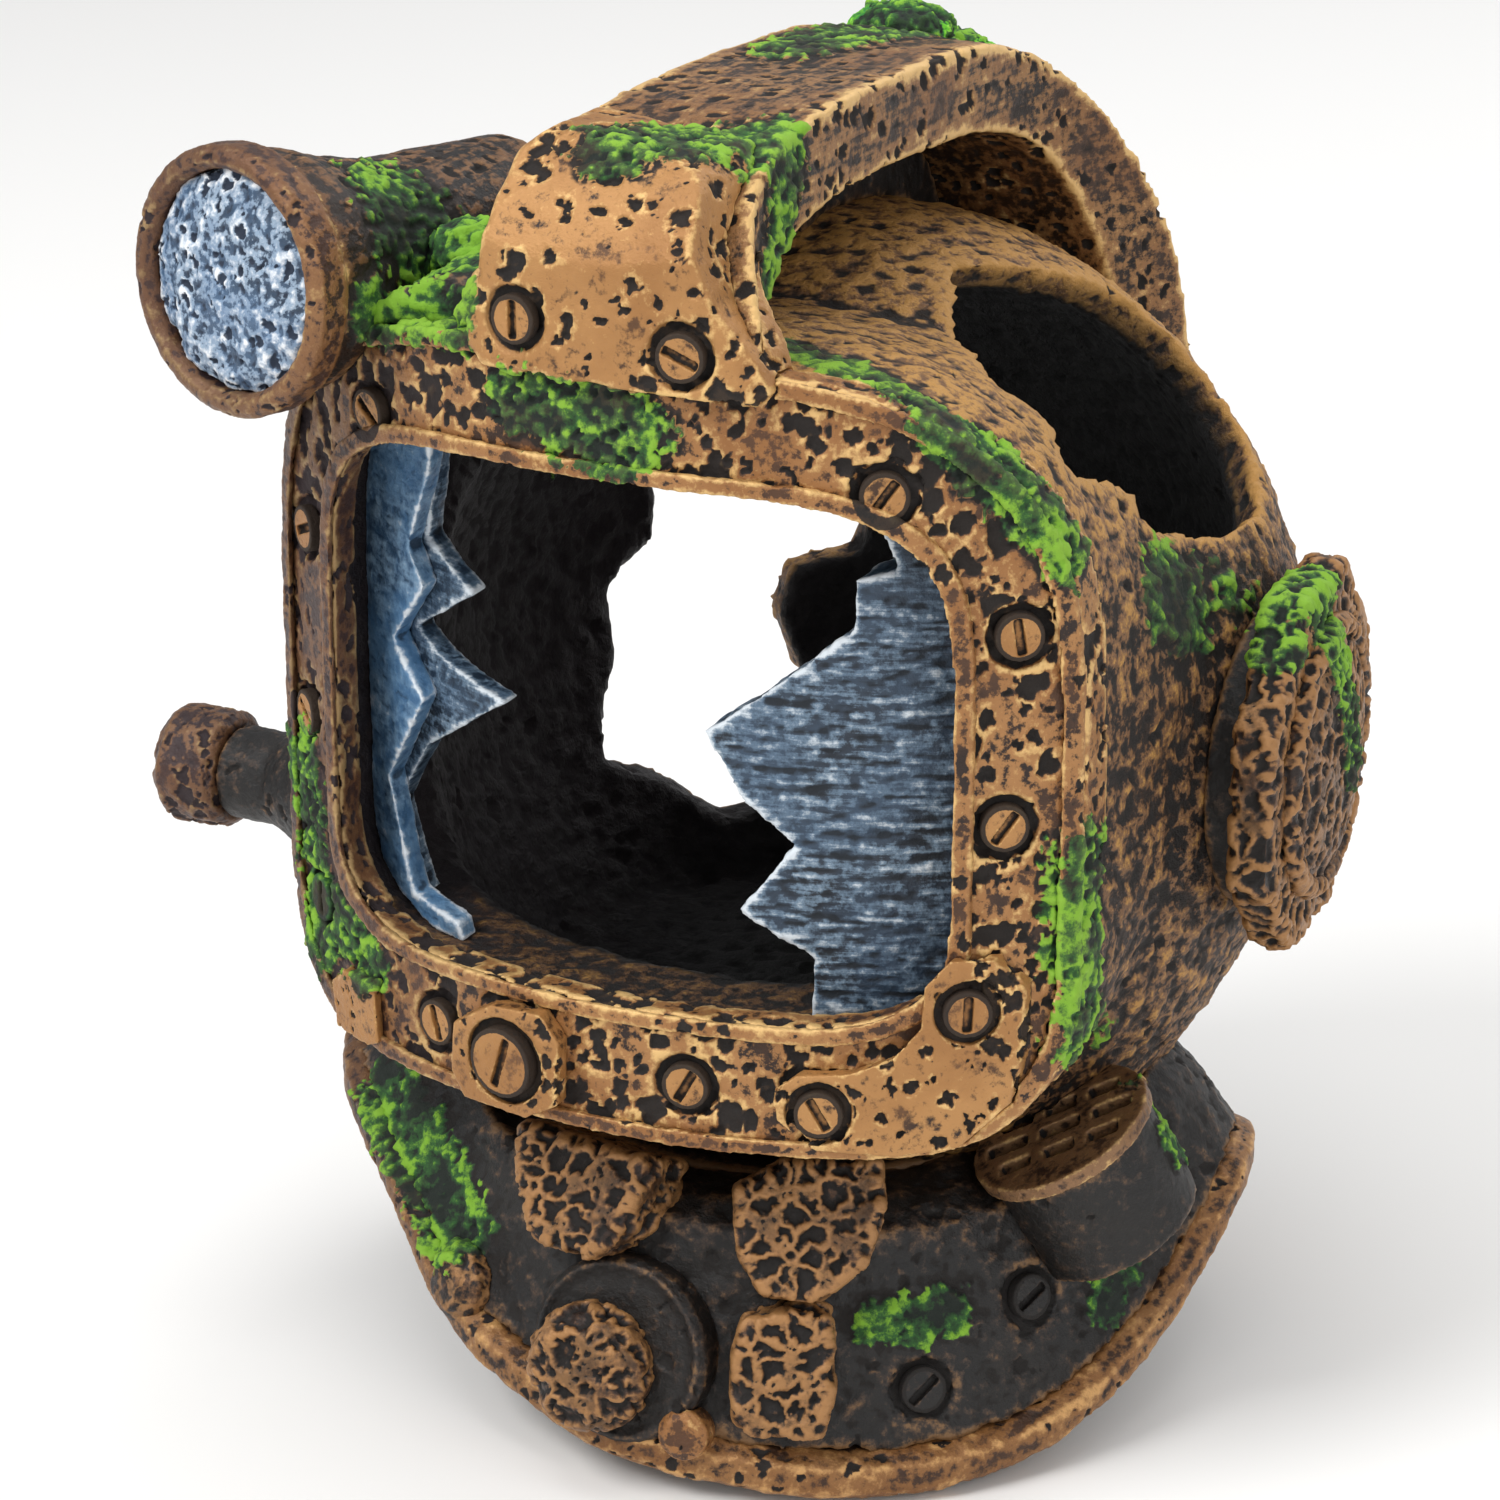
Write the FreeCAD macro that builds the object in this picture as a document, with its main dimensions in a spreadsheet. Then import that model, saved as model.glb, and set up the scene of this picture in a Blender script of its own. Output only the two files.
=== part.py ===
import FreeCAD, Part
import math
import os
import re
from types import SimpleNamespace

import Sketcher
from FreeCAD import Placement, Rotation, Vector

# Sunken diver's-helmet cave ornament in cast resin. Millimetres, +Z up, the window faces -Y,
# and the origin is the centre of the flat foot, on the surface that the ornament stands on.

doc = FreeCAD.newDocument("helmet_cave")

# Driving sizes. Each is written once here, and every piece takes its sizes from these cells.
SIZES = [
    # helmet body: two half ellipsoids that meet at the widest level
    ("domeRadius", 54.5), ("domeRise", 57), ("domeDrop", 64), ("domeBackset", 12),
    ("beltLevel", 79), ("wallThickness", 4.5), ("neckLevel", 33), ("floorThickness", 6),
    # face: the window frame lies on an upright cylinder
    ("faceRadius", 74), ("faceAxisBackset", 22), ("frameThickness", 4),
    ("frameHalfWidth", 50), ("frameLow", 46.5), ("frameHigh", 136),
    ("windowHalfWidth", 38.5), ("windowLow", 62), ("windowHigh", 122.3),
    ("beadWidth", 1.9), ("beadHeight", 0.9), ("passageRoom", 2.2),
    # broken panes behind the frame
    ("paneThickness", 6), ("paneSetback", 3.5),
    # crest handle and brow plate
    ("crestHigh", 157), ("crestHalfWidth", 12), ("crestOffset", 1.5), ("webThickness", 7),
    ("browThickness", 2.6), ("patchThickness", 2), ("tabThickness", 1.4), ("bossThickness", 2.6),
    # screws
    ("screwHeadRadius", 2.7), ("screwHeadHeight", 0.35), ("screwGrooveWidth", 1),
    ("screwSeatDepth", 1.1), ("screwSlotWidth", 1.05), ("screwSlotDepth", 0.9),
    ("latchHeadRadius", 4.1), ("latchHeadHeight", 0.7),
    # lamp
    ("lampLensRadius", 12.3), ("lampBezelRadius", 15), ("lampBezelDepth", 5), ("lampLength", 46),
    ("lampMouthRadius", 13.6), ("lampRootRadius", 10.5), ("lampX", -44.5), ("lampY", -52),
    ("lampLevel", 137.8), ("lampTurn", 15), ("lampLensCrown", 1.6),
    # side port
    ("portLevel", 78.5), ("portY", 8), ("portTurn", 6), ("portReach", 59),
    ("portFlangeRadius", 22.5), ("portFlangeThickness", 4), ("portNeckRadius", 18),
    ("portLensRadius", 14.5), ("portLensCrown", 3), ("portRimRadius", 16.2),
    # small valve knob on the other side
    ("knobReach", 76), ("knobRadius", 7.2), ("knobLength", 9), ("stemRadius", 5.6),
    ("knobY", -18), ("knobLevel", 65.5),
    # corselet (the breastplate) and its foot
    ("corseletThickness", 4), ("rimWidth", 5), ("rimHeight", 5.4), ("rimLip", 2),
    ("neckRadius", 37.5), ("footRadius", 30),
    # fittings on the breastplate
    ("gaugeRadius", 11), ("gaugeLevel", 15),
    ("gaugeKnobRadius", 6.6), ("gaugeKnobHeight", 4.2), ("gaugeRimWidth", 2), ("gaugeRimHeight", 1.4),
    ("studRadius", 3), ("ventRadius", 11), ("ventHeight", 15), ("grilleThickness", 1.8),
    ("mossThickness", 2.2),
]

sheet = doc.addObject("Spreadsheet::Sheet", "Sizes")
for row, (alias, number) in enumerate(SIZES, start=1):
    sheet.set("A%d" % row, alias)
    sheet.set("B%d" % row, str(number))
    sheet.setAlias("B%d" % row, alias)
doc.recompute()
size = SimpleNamespace(**{alias: float(sheet.get(alias)) for alias, _ in SIZES})
ALIASES = {alias for alias, _ in SIZES}

nodes = []


# ---- small helpers ---------------------------------------------------------------------

def bound(formula):
    """The formula with each size's name turned into a reference to its cell."""
    return re.sub(r"[A-Za-z]\w*", lambda m: "Sizes." + m[0] if m[0] in ALIASES else m[0], formula)


def place(item, at=None, turn=None):
    if turn is not None:
        item.Placement = Placement(Vector(), turn)
    for axis, formula in zip("xyz", at or ()):
        item.setExpression(".Placement.Base." + axis, bound(formula))
    return item


def primitive(kind, name, bindings, at=None, turn=None):
    item = doc.addObject("Part::" + kind, name)
    for prop, formula in bindings.items():
        item.setExpression(prop, bound(formula))
    return place(item, at, turn)


def feature(name, shape, placement=None):
    item = doc.addObject("Part::Feature", name)
    item.Shape = shape
    if placement is not None:
        item.Placement = placement
    return item


def mainSolid(name, item):
    """The largest solid of an item, without the slivers a cut can leave beside it."""
    doc.recompute()
    return feature(name, max(item.Shape.Solids, key=lambda solid: solid.Volume))


def fuse(name, items):
    item = doc.addObject("Part::MultiFuse", name)
    item.Shapes = items
    return item


def common(name, items):
    item = doc.addObject("Part::MultiCommon", name)
    item.Shapes = items
    return item


def cut(name, base, tool):
    item = doc.addObject("Part::Cut", name)
    item.Base = base
    item.Tool = tool
    return item


def node(item, label):
    item.Label = label
    nodes.append(item)
    return item


def bodySketch(name, role, corners):
    """A body with a closed polygon on one of its planes, every corner bound to the sheet."""
    body = doc.addObject("PartDesign::Body", name)
    sketch = body.newObject("Sketcher::SketchObject", name + "Outline")
    plane = [f for f in body.Origin.OriginFeatures if f.Role == role][0]
    sketch.AttachmentSupport = (plane, [""])
    sketch.MapMode = "FlatFace"
    count = len(corners)
    ring = [Vector(20 + 9 * math.cos(2 * math.pi * k / count),
                   20 + 9 * math.sin(2 * math.pi * k / count), 0) for k in range(count)]
    for k in range(count):
        sketch.addGeometry(Part.LineSegment(ring[k], ring[(k + 1) % count]), False)
    for k in range(count):
        sketch.addConstraint(Sketcher.Constraint("Coincident", k, 2, (k + 1) % count, 1))
    for k, pair in enumerate(corners):
        for word, axis, formula in zip(("DistanceX", "DistanceY"), (-2, -1), pair):
            if formula == "0":
                sketch.addConstraint(Sketcher.Constraint("PointOnObject", k, 1, axis))
            else:
                index = sketch.addConstraint(Sketcher.Constraint(word, k, 1, 20.0))
                sketch.setExpression("Constraints[%d]" % index, bound(formula))
    return body, sketch


def turned(name, corners, at, turn):
    """A lathe-turned piece about its own Z axis, from (radius, height) corners."""
    body, sketch = bodySketch(name, "XZ_Plane", corners)
    spin = body.newObject("PartDesign::Revolution", name + "Turn")
    spin.Profile = sketch
    spin.ReferenceAxis = (sketch, ["V_Axis"])
    spin.Angle = 360
    return place(body, at, turn)


def padded(name, corners, length, at, turn):
    """A flat plate of the given outline, thickened along its own Z axis."""
    body, sketch = bodySketch(name, "XY_Plane", corners)
    pad = body.newObject("PartDesign::Pad", name + "Pad")
    pad.Profile = sketch
    pad.setExpression("Length", bound(length))
    return place(body, at, turn)


def smoothLoop(points):
    curve = Part.BSplineCurve()
    curve.interpolate(Points=points, PeriodicFlag=True)
    return Part.Wire([curve.toShape()])


def screenLoop(y, halfWidth, low, high, lowPower, highPower, steps=32):
    """A rounded screen shape in the plane at y: a superellipse with its own power above and below."""
    middle = (low + high) / 2
    halfHeight = (high - low) / 2
    points = []
    for k in range(steps):
        angle = 2 * math.pi * k / steps
        power = highPower if math.sin(angle) > 0 else lowPower
        reach = (abs(math.cos(angle) / halfWidth) ** power
                 + abs(math.sin(angle) / halfHeight) ** power) ** (-1 / power)
        points.append(Vector(reach * math.cos(angle), y, middle + reach * math.sin(angle)))
    return smoothLoop(points)


def straightLoop(points):
    return Part.makePolygon(list(points) + [points[0]])


def prism(loop, travel):
    solid = Part.Face(loop).extrude(travel)
    if solid.Volume < 0:
        solid.reverse()
    return solid


# ---- face cylinder and frame outlines ----------------------------------------------------

FRONT = -70           # y well in front of the face
FRAME_POWERS = (6.5, 3.3)
WINDOW_POWERS = (7, 4.5)


def frameOutline(grow, y=FRONT):
    return screenLoop(y, size.frameHalfWidth + grow, size.frameLow - grow, size.frameHigh + grow,
                      *FRAME_POWERS)


def windowOutline(grow, y=FRONT):
    return screenLoop(y, size.windowHalfWidth + grow, size.windowLow - grow,
                      size.windowHigh + grow, *WINDOW_POWERS)


def faceDrum(name, radiusFormula):
    """A solid upright drum whose front is the face surface of that radius."""
    return primitive("Cylinder", name, {"Radius": radiusFormula, "Height": "crestHigh + 20"},
                     at=("0", "faceAxisBackset", "0"))


def onFace(x, level, radius):
    """The point of the face surface at that x and level, and its outward direction."""
    angle = math.asin(x / radius)
    out = Vector(math.sin(angle), -math.cos(angle), 0)
    return Vector(0, size.faceAxisBackset, level) + out * radius, out


frameBackDrum = faceDrum("FrameBackDrum", "faceRadius - frameThickness")
frameFrontDrum = faceDrum("FrameFrontDrum", "faceRadius")
beadDrum = faceDrum("BeadDrum", "faceRadius + beadHeight")
patchDrum = faceDrum("PatchDrum", "faceRadius + patchThickness")
tabDrum = faceDrum("TabDrum", "faceRadius + tabThickness")
bossDrum = faceDrum("BossDrum", "faceRadius + bossThickness")
browDrum = faceDrum("BrowDrum", "faceRadius + browThickness")
paneFrontDrum = faceDrum("PaneFrontDrum", "faceRadius - frameThickness - paneSetback")
paneBackDrum = faceDrum("PaneBackDrum", "faceRadius - frameThickness - paneSetback - paneThickness")

# ---- helmet shell ------------------------------------------------------------------------

LOFT_FRONT = -30      # the housing is straight in front of this plane and narrows behind it
LOFT_BACK = 4


def halfEllipsoids(tag, inset):
    upper = primitive("Ellipsoid", "Upper" + tag, {
        "Radius1": "domeRise - " + inset, "Radius2": "domeRadius - " + inset,
        "Radius3": "domeRadius - " + inset, "Angle1": "0", "Angle2": "90"},
        at=("0", "domeBackset", "beltLevel"))
    lower = primitive("Ellipsoid", "Lower" + tag, {
        "Radius1": "domeDrop - " + inset, "Radius2": "domeRadius - " + inset,
        "Radius3": "domeRadius - " + inset, "Angle1": "-90", "Angle2": "0"},
        at=("0", "domeBackset", "beltLevel"))
    return fuse("Whole" + tag, [upper, lower])


outerDome = halfEllipsoids("Dome", "0")
innerDome = halfEllipsoids("Cavity", "wallThickness")

housingStraight = common("HousingStraight", [
    feature("HousingPrism", prism(frameOutline(-1.0), Vector(0, LOFT_FRONT - FRONT, 0))),
    frameBackDrum])
housingTaper = feature("HousingTaper", Part.makeLoft([
    frameOutline(-1.0, LOFT_FRONT),
    screenLoop(LOFT_BACK, size.domeRadius - 3, size.frameLow - 7, size.beltLevel + size.domeRise - 7,
               2.6, 2.3)], True, True))
belowNeck = primitive("Box", "BelowNeck", {
    "Length": "4 * domeRadius", "Width": "4 * domeRadius", "Height": "neckLevel"},
    at=("-2 * domeRadius", "-2 * domeRadius", "0"))
helmetBulk = cut("HelmetBulk", fuse("HelmetMass", [outerDome, housingStraight, housingTaper]),
                 belowNeck)

cavityFloor = primitive("Box", "CavityFloor", {
    "Length": "4 * domeRadius", "Width": "4 * domeRadius", "Height": "neckLevel + floorThickness"},
    at=("-2 * domeRadius", "-2 * domeRadius", "0"))
cavity = cut("Cavity", innerDome, cavityFloor)
passage = feature("WindowPassage", prism(windowOutline(size.passageRoom),
                                         Vector(0, size.domeBackset - FRONT, 0)))


def tiltedPrism(name, outline, centre, across, outward, near, far):
    """A prism of a broken outline, running outward from near to far of the dome's centre."""
    up = outward.cross(across)
    points = [centre + across * a + up * b + outward * near for a, b in outline]
    return feature(name, prism(straightLoop(points), outward * (far - near)))


domeCentre = Vector(0, size.domeBackset, size.beltLevel)
roofTilt = math.radians(43)
# broken hole high on the port side: (towards the back, up the dome) from the dome's centre
roofHole = tiltedPrism("RoofHole", [
    (-6, 24.9), (3.4, 19.6), (16, 12.2), (21, 5), (23.5, -2), (21, -10), (9, -18), (-3, -17.5),
    (-12.3, -14), (-19, -12.6), (-20.2, -10.8), (-18.8, -8.1), (-23.4, -6.2), (-29, -4.4),
    (-33.5, -3.6), (-34, -1.8), (-30, 1), (-27.5, 4.2), (-29, 6.5), (-31, 9), (-26, 12.5),
    (-17, 17.8)],
    domeCentre, Vector(0, 1, 0), Vector(math.sin(roofTilt), 0, math.cos(roofTilt)), 20, 90)
# the large broken way out at the back
backTurn = math.radians(-135)
backHole = tiltedPrism("BackHole", [
    (9, 8), (9.5, 2), (16, -3), (15, -11), (17.5, -19), (18, -25), (10, -28), (2, -34), (-7, -32),
    (-13, -26), (-15, -21), (-10, -17), (-7.5, -9), (-10, -3), (-18, -1.5), (-20, 7), (-15, 18),
    (-4, 23), (6, 19), (11, 13)],
    domeCentre, Vector(math.cos(backTurn), math.sin(backTurn), 0),
    Vector(math.sin(backTurn), -math.cos(backTurn), 0), 22, 80)

def sideTurn(angle):
    """Turns a piece's own Z axis to point sideways, angle degrees round from the front."""
    return Rotation(Vector(0, 0, 1), angle).multiply(Rotation(Vector(1, 0, 0), 90))


portTurn = sideTurn(90 + size.portTurn)

hollowHelmet = cut("HollowHelmet", helmetBulk, cavity)
windowedHelmet = cut("WindowedHelmet", hollowHelmet, passage)
backedHelmet = cut("BackedHelmet", windowedHelmet, backHole)
helmetShell = node(cut("HelmetShell", backedHelmet, roofHole), "helmet_shell")

# ---- window frame and its beads ----------------------------------------------------------

frameRing = cut("FrameRing", feature("FramePrism", prism(frameOutline(0), Vector(0, 70, 0))),
                feature("FrameOpening", prism(windowOutline(0), Vector(0, 70, 0))))
frameBand = cut("FrameBand", common("FrameDrum", [frameRing, frameFrontDrum]), frameBackDrum)

innerBeadRing = cut("InnerBeadRing",
                    feature("InnerBeadOut", prism(windowOutline(size.beadWidth), Vector(0, 70, 0))),
                    feature("InnerBeadIn", prism(windowOutline(0), Vector(0, 70, 0))))
node(cut("InnerBead", common("InnerBeadDrum", [innerBeadRing, beadDrum]), frameFrontDrum),
     "frame_inner_bead")

# flat pieces that lie on the frame: outlines in (x, rise above the frame's lower edge)
patchOutline = [(21.5, 8.5), (22, 5), (26, 1.7), (34, 1.1), (40, 2.1), (44.6, 7), (46, 14.5),
                (45.8, 21), (43, 24.3), (39, 24.3), (36.6, 21.3), (36.4, 16.5), (33.5, 12.7),
                (29, 10.9), (24, 10.5)]
tabOutline = [(-40, 6), (-37, 8.5), (-31.5, 8.5), (-31, 1.7), (-33, 0.7), (-39, 0.7)]
bossOutline = [(-17.5, 9.5), (-12, 13.1), (-5.5, 13.5), (-3, 10.5), (-3.4, 2.9), (-7.5, 0.5), (-16, 0.7),
               (-18, 3.5)]
# the brow plate laps the frame's top edge: (x, rise above that edge)
browOutline = [(-13.4, -0.6), (-11.6, -2.7), (-5.4, -2.4), (13.8, -3.2), (20, -3.6), (21.6, -2), (20, 1.5),
               (15.6, 7), (13.4, 12.5), (12.4, 17.6), (10.6, 19.8), (-7.6, 21.8), (-10.4, 19.6), (-11.2, 12),
               (-12.4, 5)]


def faceBlank(name, outline, base):
    points = [Vector(x, FRONT, base + rise) for x, rise in outline]
    return feature(name, prism(straightLoop(points), Vector(0, 60, 0)))


cornerPatch = cut("CornerPatchBand", common("CornerPatchDrum", [
    faceBlank("CornerPatchBlank", patchOutline, size.frameLow), patchDrum]), frameFrontDrum)
latchBoss = cut("LatchBossBand", common("LatchBossDrum", [
    faceBlank("LatchBossBlank", bossOutline, size.frameLow), bossDrum]), frameFrontDrum)
sideTab = node(cut("SideTab", common("SideTabDrum", [
    faceBlank("SideTabBlank", tabOutline, size.frameLow), tabDrum]), frameFrontDrum), "side_tab")

# screws: (x, rise above the frame's lower or upper edge, slot angle)
frameScrews = [(31.6, 76.2, -10), (44, 60.4, 45), (43, 38.8, 0), (11.1, 7.1, -20),
               (-21.8, 7.1, 0), (-44.6, 58.9, 75), (-45.6, 36.3, 20), (-30.6, 76.9, 30),
               (-43, 14.5, -35)]
patchScrews = [(40.8, 18.1, 30), (26.4, 6.1, 50)]
browScrews = [(-7.2, 3.2, -5), (12.2, 1.4, 75)]
latchScrews = [(-10.4, 6.7, -25)]


def screwPlacement(x, level, radius, slotAngle):
    point, out = onFace(x, level, radius)
    upright = Rotation(Vector(0, 0, 1), out)
    return Placement(point, upright.multiply(Rotation(Vector(0, 0, 1), slotAngle + 90)))


def screwHead(headRadius, headHeight):
    """A slotted head that stands in its sunk seat, own Z outward from the plate's face."""
    head = Part.makeCylinder(headRadius, size.screwSeatDepth + headHeight,
                             Vector(0, 0, -size.screwSeatDepth))
    slot = Part.makeBox(2 * headRadius * 0.78, size.screwSlotWidth, size.screwSlotDepth + 1,
                        Vector(-headRadius * 0.78, -size.screwSlotWidth / 2,
                               headHeight - size.screwSlotDepth))
    return head.cut(slot)


def screwSeat(headRadius):
    """The sunk seat: a round pocket one groove wider than the head."""
    return Part.makeCylinder(headRadius + size.screwGrooveWidth, size.screwSeatDepth + 5,
                             Vector(0, 0, -size.screwSeatDepth))


def screwGroup(name, label, spots, base, radius, headRadius, headHeight):
    heads = []
    seats = []
    for x, rise, slotAngle in spots:
        where = screwPlacement(x, base + rise, radius, slotAngle)
        head = screwHead(headRadius, headHeight)
        seat = screwSeat(headRadius)
        head.Placement = where
        seat.Placement = where
        heads.append(head)
        seats.append(seat)
    node(feature(name, Part.makeCompound(heads)), label)
    return feature(name + "Seats", Part.makeCompound(seats))


frameSeats = screwGroup("FrameScrews", "frame_screws", frameScrews, size.frameLow, size.faceRadius,
                        size.screwHeadRadius, size.screwHeadHeight)
patchSeats = screwGroup("PatchScrews", "patch_screws", patchScrews, size.frameLow,
                        size.faceRadius + size.patchThickness, size.screwHeadRadius,
                        size.screwHeadHeight)
latchSeats = screwGroup("LatchScrew", "latch_screw", latchScrews, size.frameLow,
                        size.faceRadius + size.bossThickness, size.latchHeadRadius,
                        size.latchHeadHeight)
browSeats = screwGroup("BrowScrews", "brow_screws", browScrews, size.frameHigh,
                       size.faceRadius + size.browThickness, size.screwHeadRadius,
                       size.screwHeadHeight)

windowFrame = node(cut("WindowFrame", frameBand, frameSeats), "window_frame")
node(cut("CornerPatch", cornerPatch, patchSeats), "corner_patch")
node(cut("LatchBoss", latchBoss, latchSeats), "latch_boss")

outerBeadRing = cut("OuterBeadRing",
                    feature("OuterBeadOut", prism(frameOutline(0), Vector(0, 70, 0))),
                    feature("OuterBeadIn", prism(frameOutline(-size.beadWidth), Vector(0, 70, 0))))
outerBeadBand = cut("OuterBeadBand", common("OuterBeadDrum", [outerBeadRing, beadDrum]),
                    frameFrontDrum)

# ---- crest handle and brow plate ---------------------------------------------------------

# the crest's top line from the face, over the dome and down the back: (y, drop below the top)
crestTop = [(-50.5, 23), (-46.5, 12), (-40, 4.6), (-30, 0.9), (-12, 0), (8, 0.6), (24, 2.6),
            (35, 7), (43.5, 14.5), (49.5, 24), (53.5, 36), (55.5, 49), (56, 64)]
crestUnder = [(46, 64), (45.5, 44), (43.5, 33), (39, 23.5), (32, 16.2), (22, 12.4), (0, 10.6),
              (-24, 11), (-33, 14.4), (-38, 21), (-40, 30)]
# half width of the crest, seen from above, from the face to its spread foot at the back
crestPlan = [(-56, 20), (-50, 18.5), (-45, 15), (-39, 12.6), (-30, 12), (22, 12), (33, 13.4),
             (42, 16.5), (49, 20.5), (55, 24), (62, 25)]


CREST_DROP = 21       # from the crest's top to the frame's top edge, as drawn


def openCurve(points):
    curve = Part.BSplineCurve()
    curve.interpolate(Points=points)
    return curve.toShape()


def crestLevel(drop):
    """The level that far below the crest's top, drawn out above the frame if the crest is raised."""
    share = drop / CREST_DROP
    if share > 1:
        return size.frameHigh + CREST_DROP - drop
    return size.crestHigh - share * (size.crestHigh - size.frameHigh)


def sideBand(name, topLine, underLine, halfWidth):
    """A band drawn from the side, between a top line and an under line, across the helmet."""
    x = size.crestOffset - halfWidth
    upper = [Vector(x, y, crestLevel(drop)) for y, drop in topLine]
    lower = [Vector(x, y, crestLevel(drop)) for y, drop in underLine]
    wire = Part.Wire([openCurve(upper), Part.makeLine(upper[-1], lower[0]), openCurve(lower),
                      Part.makeLine(lower[-1], upper[0])])
    return feature(name, prism(wire, Vector(2 * halfWidth, 0, 0)))


crestBand = sideBand("CrestBand", crestTop, crestUnder, 30)
crestScale = size.crestHalfWidth / 12
planRight = [Vector(size.crestOffset + w * crestScale, y, 60) for y, w in crestPlan]
planLeft = [Vector(size.crestOffset - w * crestScale, y, 60) for y, w in reversed(crestPlan)]
crestFootprint = feature("CrestFootprint", prism(Part.Wire([
    openCurve(planRight), Part.makeLine(planRight[-1], planLeft[0]), openCurve(planLeft),
    Part.makeLine(planLeft[-1], planRight[0])]), Vector(0, 0, 120)))
crestRough = common("CrestRough", [crestBand, crestFootprint])
crestOnHelmet = cut("CrestOnHelmet", crestRough, helmetBulk)
crestHandle = node(cut("CrestHandle", crestOnHelmet, frameBand), "crest_handle")

# a web closes the far side of the gap under the crest, so it is a recess and not a window
webOutline = [(-41, 8), (50, 12), (50, 60), (-41, 60)]
webPoints = [Vector(size.crestOffset - size.crestHalfWidth + 1.5, y, crestLevel(drop))
             for y, drop in webOutline]
webBlank = feature("WebBlank", prism(straightLoop(webPoints), Vector(size.webThickness, 0, 0)))
webUnderCrest = common("WebUnderCrest", [webBlank, sideBand("WebBand", [
    (-42, 2), (-30, 3), (-12, 3), (8, 3), (24, 5), (35, 10), (42, 18), (46, 30)], [
    (44, 50), (20, 34), (0, 30), (-30, 40)], 40)])
webOffCrest = cut("WebOffCrest", webUnderCrest, crestHandle)
crestWeb = node(cut("CrestWeb", cut("WebOffHelmet", webOffCrest, helmetBulk), frameBand), "crest_web")

# the brow plate covers the crest's front leg and the top edge of the frame
browLine = [(-60, 30), (-56, 14), (-47.5, 1.6), (-38, -3.2), (-34, -3.6)]
browUnder = [(-34, 8), (-40, 12), (-44, 20), (-46, 30)]
browStretch = (size.crestHigh - size.frameHigh) / CREST_DROP
browRaised = [(x, max(rise, rise * browStretch)) for x, rise in browOutline]
browBlock = common("BrowBlock", [
    sideBand("BrowBand", browLine, browUnder, 30),
    faceBlank("BrowBlank", browRaised, size.frameHigh), browDrum])
browOnCrest = cut("BrowOnCrest", browBlock, crestHandle)
browOnFrame = cut("BrowOnFrame", browOnCrest, frameBand)
browFitted = cut("BrowFitted", cut("BrowOffWeb", browOnFrame, crestWeb), helmetBulk)
browPlate = node(mainSolid("BrowPlate", cut("BrowSeated", browFitted, browSeats)), "brow_plate")
node(cut("OuterBead", cut("OuterBeadUnderBrow", outerBeadBand, browOnCrest),
         fuse("BeadStops", [cornerPatch, latchBoss])), "frame_outer_bead")

# ---- lamp ----------------------------------------------------------------------------------

lampTurn = sideTurn(-size.lampTurn).multiply(Rotation(Vector(1, 0, 0), -3))
lampAt = ("lampX", "lampY", "lampLevel")
lampBarrel = node(turned("LampBarrel", [
    ("0", "-lampLength"), ("lampRootRadius - 1.5", "-lampLength"),
    ("lampRootRadius", "2 - lampLength"), ("lampRootRadius", "-22"), ("12", "-14"),
    ("lampMouthRadius", "-9"), ("lampMouthRadius", "-lampBezelDepth"), ("0", "-lampBezelDepth")],
    lampAt, lampTurn), "lamp_barrel")
node(turned("LampBezel", [
    ("lampLensRadius", "-lampBezelDepth"), ("lampBezelRadius - 0.8", "-lampBezelDepth"),
    ("lampBezelRadius", "0.8 - lampBezelDepth"), ("lampBezelRadius", "-0.8"),
    ("lampBezelRadius - 0.8", "0"), ("lampLensRadius + 0.8", "0.2"), ("lampLensRadius", "-0.8")],
    lampAt, lampTurn), "lamp_bezel")
node(turned("LampLens", [
    ("0", "-lampBezelDepth"), ("lampLensRadius", "-lampBezelDepth"),
    ("lampLensRadius", "-lampLensCrown"), ("0.85 * lampLensRadius", "-0.55 * lampLensCrown"),
    ("0.6 * lampLensRadius", "-0.2 * lampLensCrown"), ("0", "0.1")],
    lampAt, lampTurn), "lamp_lens")

# the saddle that carries the lamp: (x, drop below the lamp's axis)
saddleOutline = [(-38, 13.2), (-38, 8), (-30, 3), (-22, -2), (-10, -4), (-10, 13.2)]
saddlePoints = [Vector(x, -46, size.lampLevel - drop) for x, drop in saddleOutline]
saddleBlank = feature("LampSaddleBlank", prism(straightLoop(saddlePoints), Vector(0, 28, 0)))
lampSaddle = common("LampSaddleFace", [saddleBlank, frameFrontDrum])
for tag, tool in (("Helmet", helmetBulk), ("Barrel", lampBarrel), ("Crest", crestHandle),
                  ("Brow", browPlate), ("Frame", frameBand)):
    lampSaddle = cut("LampSaddleOff" + tag, lampSaddle, tool)
lampSaddle = node(mainSolid("LampSaddle", lampSaddle), "lamp_saddle")

# ---- side port -----------------------------------------------------------------------------

portAt = ("0", "portY", "portLevel")
portNeckBlank = turned("PortNeckBlank", [
    ("0", "domeRadius - wallThickness + 0.6"),
    ("portNeckRadius", "domeRadius - wallThickness + 0.6"),
    ("portNeckRadius", "portReach - portFlangeThickness"),
    ("0", "portReach - portFlangeThickness")], portAt, portTurn)
portNeck = node(cut("PortNeck", portNeckBlank, helmetBulk), "port_neck")
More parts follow.
